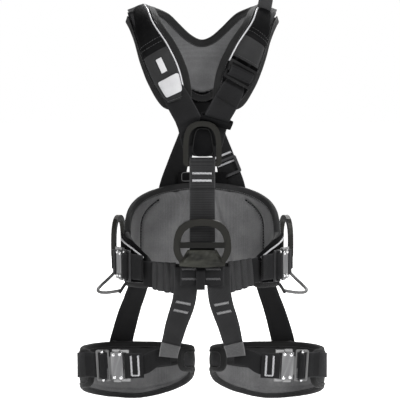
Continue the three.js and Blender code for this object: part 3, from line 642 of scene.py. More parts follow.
class Pad:
    """A foam pad between an inner surface, given in mm round the waist, and the same moved out."""

    def __init__(self, surface, thick, edge_half=2.0, crown=0.5):
        self.surface, self.thick, self.edge_half, self.crown = surface, thick, edge_half, crown
        self.wrap_edges()

    def normal(self, u, v):
        step = 1e-3
        du = self.surface(np.minimum(1, u + step), v) - self.surface(np.maximum(0, u - step), v)
        dv = self.surface(u, np.minimum(1, v + step)) - self.surface(u, np.maximum(0, v - step))
        return unit(np.cross(du, dv))

    def at(self, u, v, w):
        """The point w mm out from the inner surface, in metres."""
        u, v = np.broadcast_arrays(np.asarray(u, float), np.asarray(v, float))
        w = np.broadcast_to(np.asarray(w, float), u.shape)
        return np.array(WAIST_AT) + (self.surface(u, v) + self.normal(u, v) * w[..., None]) * MM

    def wrap_edges(self):
        """The closed line round the pad's edge, at mid thickness."""
        t = np.linspace(0, 1, 160, endpoint=False)
        q = np.linspace(0, 1, 24, endpoint=False)
        u = np.concatenate([t, np.ones(24), 1 - t, np.zeros(24)])
        v = np.concatenate([np.zeros(160), q, np.ones(160), 1 - q])
        line = self.at(u, v, self.thick / 2)
        s = np.concatenate([[0], np.cumsum(np.linalg.norm(np.diff(line, axis=0, append=line[:1]), axis=1))])
        even = np.linspace(0, s[-1], int(s[-1] / 0.004), endpoint=False)
        wrap = lambda table: np.stack([np.interp(even, s, np.append(table[:, k], table[0, k]))
                                       for k in range(table.shape[1])], -1)
        self.edge_line = wrap(line)
        self.edge_normal = unit(wrap(self.normal(u, v)))
        inward = wrap(self.at(0.5 + (u - 0.5) * 0.97, 0.5 + (v - 0.5) * 0.9, self.thick / 2)) - self.edge_line
        along = unit(np.roll(self.edge_line, -1, 0) - np.roll(self.edge_line, 1, 0))
        away = unit(np.cross(along, self.edge_normal))
        flip = np.sign((away * inward).sum(axis=1, keepdims=True))
        self.edge_away = -away * flip
        self.edge_tree = KDTree(len(self.edge_line))
        for i, p in enumerate(self.edge_line):
            self.edge_tree.insert(p, i)
        self.edge_tree.balance()

    def half(self, inset):
        """Half the pad's thickness in mm, at a distance in mm in from its edge."""
        return self.edge_half + (self.thick / 2 - self.edge_half) * soft(np.asarray(inset, float), -6, 24) ** self.crown

    def inset(self, points):
        return np.array([self.edge_tree.find(p)[2] for p in points]) * 1000

    def line(self, stations, side, lift=0.0, step=0.002):
        """A line on one face through (u, v) stations: its points and outward vectors. side is 1 outside."""
        u, v = smooth_path([(*s, 0) for s in stations], 0.004)[:, :2].T
        for _ in range(2):
            mid = self.at(u, v, self.thick / 2)
            s = np.concatenate([[0], np.cumsum(np.linalg.norm(np.diff(mid, axis=0), axis=1))])
            even = np.linspace(0, s[-1], max(4, int(s[-1] / step)))
            u, v = np.interp(even, s, u), np.interp(even, s, v)
        mid = self.at(u, v, self.thick / 2)
        w = self.thick / 2 + side * (self.half(self.inset(mid)) + lift)
        return self.at(u, v, w), self.normal(u, v) * side


def swell(piece, voxel, cap, frames=20):
    """Blows a closed mesh up like a stuffed cushion, by cloth simulation, moving no point over cap metres."""
    scene = bpy.context.scene
    bpy.context.view_layer.objects.active = piece
    remesh = piece.modifiers.new("Remesh", "REMESH")
    remesh.mode = "VOXEL"
    remesh.voxel_size = voxel
    bpy.ops.object.modifier_apply(modifier=remesh.name)
    start = np.array([v.co[:] for v in piece.data.vertices])
    cloth = piece.modifiers.new("Cloth", "CLOTH")
    cloth.settings.use_pressure = True
    cloth.settings.uniform_pressure_force = 4.0
    cloth.settings.quality = 5
    cloth.settings.effector_weights.gravity = 0
    cloth.point_cache.frame_start, cloth.point_cache.frame_end = 1, frames
    for number in range(1, frames + 1):
        scene.frame_set(number)
    bpy.ops.object.modifier_apply(modifier=cloth.name)
    scene.frame_set(1)
    moved = np.array([v.co[:] for v in piece.data.vertices]) - start
    far = np.maximum(np.linalg.norm(moved, axis=1, keepdims=True), 1e-9)
    piece.data.vertices.foreach_set("co", (start + moved * np.minimum(1, cap / far)).ravel())


def stuffed(name, pad, looks, grooves, voxel=0.0045, puff=1.0, side_look=None):
    """A pad's stuffed body: a thin closed shell, swollen, then drawn in along its edge and its seams.

    looks are its inner and outer finishes. grooves are (stations, side, depth mm, width mm).
    side_look(u, v, side) may pick another of the finishes for a face, by number."""
    nu, nv = 110, 22
    u, v = np.meshgrid(np.linspace(0, 1, nu), np.linspace(0, 1, nv), indexing="ij")
    layers = [pad.at(u, v, pad.thick * share) for share in (0.24, 0.76)]
    points = np.concatenate([layer.reshape(-1, 3) for layer in layers])
    at = lambda layer, i, j: layer * nu * nv + i * nv + j
    faces = []
    for i in range(nu - 1):
        for j in range(nv - 1):
            faces.append((at(0, i, j), at(0, i, j + 1), at(0, i + 1, j + 1), at(0, i + 1, j)))
            faces.append((at(1, i, j), at(1, i + 1, j), at(1, i + 1, j + 1), at(1, i, j + 1)))
        faces.append((at(0, i, 0), at(0, i + 1, 0), at(1, i + 1, 0), at(1, i, 0)))
        faces.append((at(0, i, nv - 1), at(1, i, nv - 1), at(1, i + 1, nv - 1), at(0, i + 1, nv - 1)))
    for j in range(nv - 1):
        faces.append((at(0, 0, j), at(1, 0, j), at(1, 0, j + 1), at(0, 0, j + 1)))
        faces.append((at(0, nu - 1, j), at(0, nu - 1, j + 1), at(1, nu - 1, j + 1), at(1, nu - 1, j)))
    piece = add_mesh(name, points, faces, looks[0])
    swell(piece, voxel, 0.006)
    smooth = piece.modifiers.new("Subdivision", "SUBSURF")
    smooth.levels = 1
    bpy.ops.object.modifier_apply(modifier=smooth.name)

    # Each point's own place on the pad, from a fine grid of its middle surface.
    gu, gv = np.meshgrid(np.linspace(0, 1, 420), np.linspace(0, 1, 60), indexing="ij")
    gu, gv = gu.ravel(), gv.ravel()
    grid, normals = pad.at(gu, gv, pad.thick / 2), pad.normal(gu, gv)
    tree = KDTree(len(grid))
    for i, p in enumerate(grid):
        tree.insert(p, i)
    tree.balance()
    mesh = piece.data
    points = np.array([p.co[:] for p in mesh.vertices])
    nearest = np.array([tree.find(p)[1] for p in points])
    out = normals[nearest]
    rise = ((points - grid[nearest]) * out).sum(axis=1) * 1000
    inset = pad.inset(points - out * rise[:, None] * MM)
    side = np.sign(rise)
    swollen = np.clip(np.abs(rise) / (pad.thick * 0.26 + 4.5 * puff), 0, 1)
    full = pad.half(inset) * (0.86 + 0.14 * swollen)
    want = np.where(np.abs(rise) > pad.edge_half * 0.9, full * side, rise)
    for stations, face, depth, width in grooves:
        line, _ = pad.line(stations, face, step=0.0015)
        seam = KDTree(len(line))
        for i, p in enumerate(line):
            seam.insert(p, i)
        seam.balance()
        gap = np.array([seam.find(p)[2] for p in grid[nearest] + out * (want * MM)[:, None]]) * 1000
        want = want - np.where(side == face, side * depth * np.exp(-(gap / width) ** 2), 0)
    mesh.vertices.foreach_set("co", (points + out * ((want - rise) * MM)[:, None]).ravel())
    for look in looks[1:]:
        mesh.materials.append(LOOK[look])
    numbers = []
    for face in mesh.polygons:
        pick = list(face.vertices)
        where = int(np.sign(rise[pick].mean()) > 0)
        if side_look:
            where = side_look(gu[nearest[pick]].mean(), gv[nearest[pick]].mean(), where)
        numbers.append(where)
    mesh.polygons.foreach_set("material_index", numbers)
    mesh.polygons.foreach_set("use_smooth", [True] * len(mesh.polygons))
    mesh.update()
    return piece


def add_binding(name, pad, look="binding", reach=8.0, thick=0.9, second=None):
    """Tape folded over the whole edge of a pad. second is another finish, and where it is used."""
    rings = []
    inner = [(-x, pad.half(x) + 0.25) for x in np.linspace(reach, 0, 5)]
    nose = pad.half(0) + 0.25
    inner += [(nose * math.sin(a), nose * math.cos(a)) for a in np.linspace(0.35, math.pi / 2, 4)]
    inner = inner + [(x, -y) for x, y in inner[-2::-1]]
    line = np.array(inner)
    turn = np.gradient(line, axis=0)
    outer = line + thick * unit(np.stack([-turn[:, 1], turn[:, 0]], -1))
    section = np.concatenate([outer, line[::-1]]) * MM
    wobble = waves(np.arange(len(pad.edge_line)) * 0.004, 7, 0.00025)
    for p, away, out, shift in zip(pad.edge_line, pad.edge_away, pad.edge_normal, wobble):
        rings.append(p + away * shift + section[:, :1] * away + section[:, 1:] * out)
    tape = add_loft(name, rings, look, closed=True)
    if second:
        tape.data.materials.append(LOOK[second[0]])
        chosen = [second[1](point) for point in pad.edge_line]
        tape.data.polygons.foreach_set("material_index", np.repeat(chosen, len(section)).astype(int))
    return tape


def binding_seam(thread, pad, reach=6.2, thick=0.9):
    """The stitch line through a binding, on both faces."""
    h = (pad.half(reach) + 0.25 + thick) * MM
    for sign in (1, -1):
        line = pad.edge_line - pad.edge_away * reach * MM + pad.edge_normal * sign * h
        thread.run(line, pad.edge_normal * sign, 0.0034, 0.0012)


# ---- The body's form, as the CAD model has it, in mm round the middle of the waist ----

WAIST = (128.0, 104.0)
THIGH = (94.0, 80.0)
LEG_X, LEG_Z, LEG_DROP = 118.0, -180.0, 20.0
PAD_END, LEG_PAD_END = 138.0, 128.0
SIDES = (("left", 1), ("right", -1))


def xyz(x, y, z):
    return np.stack(np.broadcast_arrays(x, y, z), -1).astype(float)


def belt_top(deg):
    a = np.abs(deg)
    dome = 62 + 76 * np.clip(1 - (a / 92) ** 2, 0, 1) ** 0.62
    wing = 62 - 40 * np.clip((a - 92) / (PAD_END - 92), 0, 1) ** 1.3
    return np.where(a < 92, dome, wing)


def belt_low(deg):
    return -28 + 6 * soft(np.abs(deg), 90, PAD_END)


def belt_surface(u, v):
    deg = PAD_END * (1 - 2 * u)
    top, low = belt_top(deg), belt_low(deg)
    keep = blunt(u, 620)
    z = (top + low) / 2 + (top - low) * (v - 0.5) * keep
    a = np.radians(deg)
    return xyz(WAIST[0] * np.sin(a), WAIST[1] * np.cos(a), z)


def belt_uv(deg, z):
    """Where an angle and a height are on the belt pad."""
    return (1 - deg / PAD_END) / 2, (z - belt_low(deg)) / (belt_top(deg) - belt_low(deg))


# Lower and upper edges of a leg pad, at even steps from its inner front end to its outer one.
LEG_EDGES = np.array([(-178, -141), (-188, -148), (-217, -153), (-242, -156), (-256, -157), (-251, -155),
                      (-236, -153), (-217, -150), (-206, -146)], float)


def leg_surface(side):
    def surface(u, v):
        u, v = np.broadcast_arrays(np.asarray(u, float), np.asarray(v, float))
        deg = side * LEG_PAD_END * (1 - 2 * u)
        index = (deg / LEG_PAD_END + 1) / 2 * (len(LEG_EDGES) - 1)
        low, top = spline(LEG_EDGES, index.ravel()).T.reshape(2, *u.shape)
        a = np.radians(deg)
        z = (low + top) / 2 + (top - low) * (v - 0.5) * blunt(u, 400)
        return xyz(side * (LEG_X + THIGH[0] * np.sin(a)), THIGH[1] * np.cos(a), z)
    return surface


YOKE_INNER = [(20, -118, 300), (23, -118, 335), (32, -114, 368), (50, -104, 402), (73, -82, 433),
              (84, -46, 451), (91, 0, 458), (84, 42, 456), (62, 74, 446), (40, 94, 425), (20, 104, 409),
              (0, 108, 402)]
YOKE_OUTER = [(58, -111, 290), (72, -104, 307), (88, -95, 337), (101, -87, 373), (109, -74, 404),
              (119, -49, 427), (127, -5, 438), (126, 40, 434), (113, 79, 416), (90, 101, 384), (58, 113, 338),
              (0, 119, 298)]


def mirrored(rail):
    half = np.array(rail, float)
    return np.concatenate([half, half[-2::-1] * (-1, 1, 1)])


YOKE_RAILS = mirrored(YOKE_INNER), mirrored(YOKE_OUTER)


def yoke_surface(u, v):
    u, v = np.broadcast_arrays(np.asarray(u, float), np.asarray(v, float))
    inner, outer, ahead, behind = ([spline(rail, np.clip(u.ravel() + d, 0, 1) * (len(rail) - 1))
                                    for rail in YOKE_RAILS] for d in (0, 0, 2e-3, -2e-3))
    a, b = inner[0], outer[1]
    keep = blunt(u.ravel(), 760, 22, 0.3)[:, None]
    middle_line = (a + b) / 2
    a, b = middle_line + (a - middle_line) * keep, middle_line + (b - middle_line) * keep
    along = unit(ahead[0] + ahead[1] - behind[0] - behind[1])
    out = unit(np.cross(b - a, along))
    w = v.ravel()[:, None]
    crown = 7 * 4 * w * (1 - w) * soft(0.5 - np.abs(u.ravel() - 0.5), 0, 0.2)[:, None]
    # V runs from the outer edge to the neck, so that the pad's normals point away from the body.
    points = b + (a - b) * w + out * crown
    return points.reshape(*u.shape, 3)


# ---- Belt pad ----
belt = Pad(belt_surface, 14.0)
seam_side = [belt_uv(38, 113), belt_uv(52, 94), belt_uv(59, 72), belt_uv(60, 26), belt_uv(60, -24)]
flute_near = [belt_uv(9, 122), belt_uv(14, 80), belt_uv(21, 30), belt_uv(24, -20)]
flip_u = lambda stations: [(1 - u, v) for u, v in stations]
lining_seams = [seam_side, flip_u(seam_side)]
flutes = [flute_near, flip_u(flute_near)]
back_quilt = [[belt_uv(d, z) for d, z in ((d0, 108 - abs(d0) * 0.5), (d0 * 1.05, 60), (d0 * 1.1, -22))]
              for d0 in (-78, 78)]
grooves = [(line, -1, 3.6, 3.6) for line in lining_seams] + [(line, -1, 4.2, 5.0) for line in flutes]
grooves += [(line, 1, 2.4, 2.6) for line in back_quilt]
pad = stuffed("belt_pad_body", belt, ["deep_lining", "cover"], grooves)
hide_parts("belt_pad")
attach(pad, "harness")
tape = add_binding("belt_pad_binding", belt, "panel", 6.8,
                   second=("binding", lambda point: point[2] < place(0, 0, -8).z))
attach(tape, "harness")
seams = Thread(0.0004)
binding_seam(seams, belt, 5.2)
for number, stations in enumerate(lining_seams):
    line, outs = belt.line(stations, -1, -2.4)
    cord = add_cord(f"belt_lining_cord_{number}", line, 0.0013, "cover")
    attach(cord, "harness")
    for shift in (-0.006, 0.006):
        line, outs = belt.line([(u + shift, v) for u, v in stations], -1, 0.1)
        seams.run(line, outs, 0.0038, 0.0014)
for stations in back_quilt:
    seams.run(*belt.line(stations, 1, 0.1))
stitching = seams.add("belt_pad_stitching", "gray_thread")
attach(stitching, "harness")

# ---- Yoke ----
yoke = Pad(yoke_surface, 11.0)
pad = stuffed("yoke_pad_body", yoke, ["lining", "cover"], [], voxel=0.0042)
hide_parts("yoke_pad")
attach(pad, "harness")
tape = add_binding("yoke_pad_binding", yoke, reach=8.5)
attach(tape, "harness")
seams = Thread(0.0004)
binding_seam(seams, yoke, 6.8)
stitching = seams.add("yoke_pad_stitching", "thread")
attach(stitching, "harness")



def arm_point(side, u, f, w, margins=(9.0, 9.0)):
    """A point over a yoke arm: f runs across it from -1, near its outer edge, to 1 near the neck."""
    u = np.broadcast_to(u, np.shape(f)) if side > 0 else 1 - np.broadcast_to(u, np.shape(f))
    wide = np.linalg.norm(yoke_surface(u, 1.0) - yoke_surface(u, 0.0), axis=-1)
    v0, v1 = margins[0] / wide, 1 - margins[1] / wide
    v = v0 + (v1 - v0) * (np.asarray(f) + 1) / 2
    return yoke.at(u, v, w), yoke.normal(u, v)


def arm_lift(f, u):
    """How far out the outer cover of an arm stands, in mm, over the strap that runs under it."""
    crown = 8.4 - 5.4 * soft(np.asarray(u, float), 0.1, 0.26)
    return 11.6 + crown * (1 - np.abs(f) ** 4) ** 0.7 + 0.5 * np.sin(u * 61 + 2 * f) * (1 - f ** 2)


ARM_COVER = {"left": (0.115, 0.47), "right": (0.022, 0.47)}
for name, side in SIDES:
    start, end = ARM_COVER[name]
    u, f = np.meshgrid(np.linspace(start, end, 110), np.linspace(-1, 1, 25), indexing="ij")
    top, outs = arm_point(side, u, f, arm_lift(f, u))
    split = 30 if name == "right" else 16
    lower = add_sheet(f"arm_{name}_lower_cover", top[:split], outs[:split], "panel", 0.001)
    upper = add_sheet(f"arm_{name}_upper_cover", top[split - 3:] + outs[split - 3:] * 0.0006,
                      outs[split - 3:], "cover", 0.001)
    seams = Thread(0.0004)
    for inset in (-0.93, 0.93):
        line, out = arm_point(side, u[:, 0], np.full(len(u), inset), arm_lift(inset, u[:, 0]) + 0.2)
        seams.run(line, out)
    row = np.linspace(-0.95, 0.95, 40)
    for at in (u[split, 0], u[split + 2, 0], start + 0.004):
        line, out = arm_point(side, np.full(40, at), row, arm_lift(row, at) + 0.8)
        seams.run(line, out)
    stitches = seams.add(f"arm_{name}_stitching", "thread")
    along = np.concatenate([[max(0.011, start - 0.012)], u[1:, 0]])
    line, out = arm_point(side, along, np.full(len(along), 1.03), 13.0)
    piping = add_cord(f"arm_{name}_piping", smooth_path(line + out * 0.0004), 0.0013, "reflective")
    for piece in (lower, upper, stitches, piping):
        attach(piece, "harness")

# A blank patch and a smaller one above it, sewn on the right arm.
for name, u_span, f_span, corner, look in (("arm_patch", (0.037, 0.078), (-0.62, 0.94), 0.22, "label"),
                                           ("arm_small_patch", (0.091, 0.120), (-0.06, 0.34), 0.08, "label")):
    a, b = np.meshgrid(np.linspace(-1, 1, 25), np.linspace(-1, 1, 25), indexing="ij")
    pull = np.where((np.abs(a) > 1 - corner) & (np.abs(b) > 1 - corner),
                    np.hypot(np.maximum(np.abs(a) - 1 + corner, 0), np.maximum(np.abs(b) - 1 + corner, 0)) / corner, 1)
    keep = 1 / np.maximum(pull, 1)
    a, b = (np.sign(q) * (np.minimum(np.abs(q), 1 - corner) + np.maximum(np.abs(q) - 1 + corner, 0) * keep)
            for q in (a, b))
    u = (u_span[0] + u_span[1]) / 2 + a * (u_span[1] - u_span[0]) / 2
    f = (f_span[0] + f_span[1]) / 2 + b * (f_span[1] - f_span[0]) / 2
    top, outs = arm_point(-1, u, f, arm_lift(f, u) + 1.1)
    patch = add_sheet(name, top, outs, look, 0.0012)
    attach(patch, "harness")

# ---- Leg pads ----
for name, side in SIDES:
    leg = Pad(leg_surface(side), 12.0)
    low_seam = [(u, 0.16) for u in np.linspace(0.06, 0.94, 9)]
    high_seam = [(u, 0.56) for u in np.linspace(0.04, 0.96, 9)]
    pad = stuffed(f"leg_pad_{name}_body", leg, ["deep_lining", "panel"],
                  [(low_seam, -1, 2.4, 2.0), (high_seam, -1, 1.6, 1.6)],
                  side_look=lambda u, v, where: 1 if v > 0.56 or min(u, 1 - u) < 0.07 else where)
    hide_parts(f"leg_pad_{name}")
    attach(pad, f"leg_loop_{name}")
    for part, (u0, u1), (v0, v1) in (("seam", (0.06, 0.94), (0.525, 0.595)),
                                     ("end_tape_inner", (0.052, 0.086), (0.03, 0.56)),
                                     ("end_tape_outer", (0.914, 0.948), (0.03, 0.56))):
        u, v = np.meshgrid(np.linspace(u0, u1, 90 if part == "seam" else 5),
                           np.linspace(v0, v1, 5 if part == "seam" else 30), indexing="ij")
        inset = leg.inset(leg.at(u, v, leg.thick / 2).reshape(-1, 3)).reshape(u.shape)
        top = leg.at(u, v, leg.thick / 2 - leg.half(inset) - 0.5)
        tape = add_sheet(f"leg_pad_{name}_{part}_tape", top, -leg.normal(u, v), "panel", 0.001)
        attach(tape, f"leg_loop_{name}")
    tape = add_binding(f"leg_pad_{name}_binding", leg, reach=5.6,
                       second=("panel", lambda point: point[2] < place(0, 0, -222).z))
    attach(tape, f"leg_loop_{name}")
    seams = Thread(0.0004)
    binding_seam(seams, leg, 4.4)
    stitching = seams.add(f"leg_pad_{name}_stitching", "thread")
    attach(stitching, f"leg_loop_{name}")

# ---- Webbing ----
RIDES = {node: body for body, nodes in frame["record"]["behaviour"]["bodies"].items() for node in nodes}
GRAY_WEB = {"chest_strap", "leg_front_strap_left", "leg_front_strap_right"}
BANDS = {}


def hidden_by_cover(band):
    """A shoulder strap drawn in a little where it runs under the cover of the arm."""
    height = (band.centre[:, 2] - place(0, 0, 0).z) / MM
    inside = soft(height, 318, 345)
    narrow = band.half * (1 - 0.34 * inside)
    return Band(band.centre - band.out * (inside * 0.0055)[:, None], band.across, band.out, narrow)


for number, node in enumerate(sorted(NODES)):
    kind = ("strap", "webbing", "buckle_loop", "front_panel", "ring_loop")
    if not any(word in node for word in kind):
        continue
    band = BANDS[node] = cad_band(node)
    step = 0.0012 if "loop" in node or "panel" in node or node == "chest_strap" else 0.0024
    look = "webbing_gray" if node in GRAY_WEB else "webbing"
    if node.startswith("shoulder_strap"):
        band = BANDS[node] = hidden_by_cover(band)
    if node == "chest_strap":
        # Its fold over the ring's foot stands up a little.
        band.centre[:, 2] += 4.5 * MM * soft(band.centre[:, 2], place(0, 0, 197).z, place(0, 0, 204).z)
    if node == "front_belt_webbing":
        # It is drawn up in the middle, between the leg straps.
        near_middle = np.exp(-(band.centre[:, 0] / 0.028) ** 2)
        band = BANDS[node] = Band(band.centre + np.outer(near_middle, (0, 0, 0.0045)), band.across, band.out,
                                  band.half * (1 - 0.2 * near_middle))
    if node.startswith("leg_front_strap"):
        # Its upper end leans in towards the middle, and its lower end is folded up short.
        rise = (band.centre[:, 2] - place(0, 0, 0).z) / MM
        lean = -np.sign(band.centre[0, 0]) * 6.0 * MM * soft(rise, -95, -35)
        ends = (0.0, band.length - 0.008) if band.centre[0, 2] > band.centre[-1, 2] else (0.008, band.length)
        taper = 1 - 0.15 * soft(-rise, 40, 130)
        band = Band(band.centre + np.outer(lean, (1, 0, 0)), band.across, band.out, band.half * taper).part(*ends)
        BANDS[node] = band
    if node.startswith("back_strap"):
        # It is drawn in along its inner edge below the crossing.
        rise = (band.centre[:, 2] - place(0, 0, 0).z) / MM
        drawn = 0.13 * soft(rise, 158, 176) * (1 - soft(rise, 204, 222))
        aside = np.sign(band.centre[:, 0]) * drawn * band.half
        band = Band(band.centre + np.outer(aside, (1, 0, 0)), band.across, band.out, band.half * (1 - drawn))
        BANDS[node] = band
    ribbed = "webbing_ribbed" if node == "chest_strap" else look
    web = add_webbing(f"{node}_web", band, ribbed, step=step, seed=number)
    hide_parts(node)
    if node.startswith(("leg_front_strap", "leg_rear_strap")):
        leg_body = "leg_loop_" + node.split("_")[-1]
        high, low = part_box(node)[1][2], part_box(node)[0][2]
        x, y = middle(node)[:2]
        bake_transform(web)
    else:
        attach(web, RIDES[node])


# ---- Smaller pieces of webbing, in mm round the waist ----

def lay(points, across, half):
    """A band through points in mm round the waist. across and half are one value, or one per point."""
    return lay_metres([place(*p)[:] for p in points], across, half)


def lay_metres(points, across, half):
    """A band through points in metres; half is in mm."""
    points = np.array(points)
    count = len(points)
    index = np.linspace(0, count - 1, 14 * count)
    centre = spline(points, index)
    along = unit(np.gradient(centre, axis=0))
    across = spline(np.broadcast_to(np.asarray(across, float), (count, 3)), index)
    across = unit(across - along * (across * along).sum(axis=1, keepdims=True))
    halves = np.interp(index, np.arange(count), np.broadcast_to(np.asarray(half, float), count)) * MM
    return Band(centre, across, unit(np.cross(across, along)), halves)


def station(band, z, pull=0.3):
    """How far along a band it is at a height z mm, on whichever of its layers is nearest the front."""
    miss = np.abs(band.centre[:, 2] - place(0, 0, z).z) + pull * band.centre[:, 1]
    return band.s[int(miss.argmin())]


def keep(piece, body="harness", slot="webbing"):
    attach(piece, body)
    return piece


def rounded(count, corner):
    """A square grid from -1 to 1 both ways, drawn in to a rounded outline."""
    a, b = np.meshgrid(np.linspace(-1, 1, count), np.linspace(-1, 1, count), indexing="ij")
    past = [np.maximum(np.abs(q) - 1 + corner, 0) for q in (a, b)]
    draw = 1 / np.maximum(np.hypot(*past) / corner, 1)
    return [np.sign(q) * (np.minimum(np.abs(q), 1 - corner) + p * draw) for q, p in zip((a, b), past)]


FRONT = np.array((0.0, -1.0, 0.0))

# The crossing patch inside the sternal ring, rimmed with cord, over the ends of the shoulder straps.
a, b = rounded(33, 0.3)
half_wide = 16.5 - 3.6 * b
bulge = 1.3 * (1 - a ** 2) * (1 - b ** 2)
patch = np.array([[place(x + 1, -129.6 - lift, 235 + 24 * z)[:] for x, lift, z in zip(*row)]
                  for row in zip(a * half_wide, bulge, b)])
keep(add_sheet("sternal_patch", patch, np.broadcast_to(FRONT, patch.shape), "cover", 0.003))
turn = np.linspace(0, 2 * math.pi, 81)[:-1]
square = lambda c, power: np.sign(c) * np.abs(c) ** power
rim = [(square(math.cos(t), 0.5), square(math.sin(t), 0.5)) for t in turn]
rim = np.array([place(1 + x * (16.2 - 3.6 * z), -130.4, 235 + 23.7 * z)[:] for x, z in rim])
keep(add_cord("sternal_patch_rim", rim, 0.0011, "binding", closed=True))

# Plain patches low on the inner faces of the back straps; the right one has a stitched outline.
for name, side in SIDES:
    a, b = rounded(17, 0.15)
    patch = np.array([[place(side * (30.5 + 14 * x), 118.0 - 0.18 * (30.5 + 14 * x), 149 + 13.5 * z)[:]
                       for x, z in zip(*row)] for row in zip(a * side, b)])
    keep(add_sheet(f"back_patch_{name}", patch, np.broadcast_to(FRONT, patch.shape), "cover", 0.0014))
turn = np.linspace(0, 2 * math.pi, 49)[:-1]
rim = [(square(math.cos(t), 0.4), square(math.sin(t), 0.4)) for t in turn]
rim = np.array([place(-29 - 9 * x, 117.2 - 0.18 * (29 + 9 * x), 153.5 + 8 * z)[:] for x, z in rim])
keep(add_cord("back_patch_rim", rim, 0.0006, "gray_thread", closed=True))

# The backing under the dorsal plate, and the tab that holds the dorsal ring's loop to the plate.
for name, half_wide, half_tall, z, near, far in (("dorsal_backing", 35, 30, 262, 123, 144.3),
                                                 ("dorsal_loop_tab", 12, 12.5, 251, 148.4, 152.6)):
    a, b = rounded(17, 0.25)
    patch = np.array([[place(half_wide * x, far, z + half_tall * y)[:] for x, y in zip(*row)] for row in zip(-a, b)])
    keep(add_sheet(name, patch, np.broadcast_to(-FRONT, patch.shape), "cover", (far - near) * MM))

# The webbing under the sleeve, its central loop, and the reflective bars across them.
bridge = lay([(0, -128.5, 25), (0, -130.6, 12), (0, -131.2, 0), (0, -130.4, -13)], (1, 0, 0), 38)
bridge = bridge.facing(FRONT)
keep(add_webbing("bridge_web", bridge, "webbing", step=0.0012, seed=71))
centre_loop = lay([(-3, -132.2, 14), (-3, -136.2, 10), (-3, -137.6, 0), (-3, -137.0, -12), (-3, -134.0, -18.5),
                   (-3, -130.2, -19), (-3, -128.0, -14)], (1, 0, 0), 7.5).facing(FRONT)
keep(add_webbing("centre_loop_web", centre_loop, "webbing", thick=0.003, step=0.0012, seed=72))
shine = Thread(0.0006)
dim, faint = Thread(0.0006), Thread(0.0006)
for z in (15, -1.5):
    for f0, f1 in ((-0.94, -0.28), (0.16, 0.82)):
        tack_across(faint, bridge, station(bridge, z), 0.0012, 0.0042, f0, f1)
chest = BANDS["chest_strap"] = BANDS["chest_strap"].facing(FRONT)
for z in (182.7, 172):
    s = station(chest, z)
    front_out = 1 if chest.at(s)[2][0] @ FRONT > 0 else -1
    tack_across(shine, chest, s, 0.0012 * front_out, 0.0044, -0.78, 0.72)
for name, side in SIDES:
    strap = BANDS[f"leg_front_strap_{name}"] = BANDS[f"leg_front_strap_{name}"].facing(FRONT)
    for z in (-45.5, -60.5):
        tack_across(dim, strap, station(strap, z, 0.05), 0.0012, 0.005, -0.62, 0.62)
back = BANDS["back_strap_left"] = BANDS["back_strap_left"].facing(FRONT)
for z in (195, 183.5):
    tack_across(shine, back, station(back, z, 0), 0.0012, 0.0044, -0.85, 0.85)
keep(shine.add("reflective_bars", "reflective"))
keep(dim.add("leg_strap_bars", "soft_tape"))
keep(faint.add("bridge_bars", "dim_tape"))

# Gathered folds where the front belt meets the leg straps.
front_belt = BANDS["front_belt_webbing"].facing(FRONT)
xs = front_belt.centre[:, 0] / MM
for name, side in SIDES:
    ends = [front_belt.s[int(np.abs(xs - side * x).argmin())] for x in (40, 84)]
    s = np.linspace(*ends, 90)
    f = np.linspace(-1.0, 1.0, 15)
    centre, across, out, half = front_belt.at(s)
    up = across * np.sign(across[:, 2:3])
    t = np.linspace(0, 1, 90)
    ridge = np.abs(np.sin(t * math.pi * 3.6 + 0.5)) ** 0.7 * (0.55 + 0.45 * np.sin(t * 7 + side) ** 2)
    lift = (1.3 + 4.2 * ridge[:, None] + 0.5 * np.sin(f * 3 + t[:, None] * 14)) * MM
    low = (1 - t) ** 0.8 * 6.5
    tall = 23.6 + np.where(f[None] < 0, low[:, None] + 1.0 * ridge[:, None], 1.2 * ridge[:, None])
    top = centre[:, None] + up[:, None] * (f * tall)[..., None] * MM + out[:, None] * lift[..., None]
    keep(add_sheet(f"belt_folds_{name}", top, np.broadcast_to(out[:, None], top.shape), "panel_web", 0.0015),
         slot="webbing_gray")

# A wrinkled sleeve round the foot of the ventral ring, drawn in where it passes the crossbar.
height = np.linspace(0, 1, 40)
loop = []
for t in np.concatenate([height, 2 - height[1:]]):
    ahead, h = t <= 1, min(t, 2 - t)
    depth = 3.0 + 6.6 * math.sin(math.pi * h ** 0.72) ** 0.55
    loop.append((h, -136 - depth if ahead else -136 + depth * 0.85, 20.5 + 29.5 * h))
columns = np.linspace(-1, 1, 60)
rings = []
for c in columns:
    ring = []
    for k, (h, y, z) in enumerate(loop):
        wide = 39.5 - 14.5 * soft(h, 0.05, 0.9)
        crease = (math.sin(c * 7 + h * 9) + 0.8 * math.sin(h * 17 + 2.6 * math.sin(c * 2.4)) +
                  0.45 * math.sin(c * 15 - h * 11 + 1)) / 2.2
        pull = 2.3 * crease * math.sin(math.pi * min(1, h * 0.9 + 0.1)) * (1 if k < len(height) else 0.4)
        sag = 1.6 * math.cos(c * 2.2) * (1 - h)
        pinch = 1 - 0.5 * soft(abs(c), 0.86, 1.0)
        ring.append(place(c * wide - 0.5, -136 + (y + 136) * pinch - pull, z - sag)[:])
    rings.append(ring)
sleeve = add_loft("ventral_sleeve_skin", np.array(rings), "sleeve")
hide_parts("ventral_sleeve")
keep(sleeve, slot="sleeve")

# ---- Buckles ----

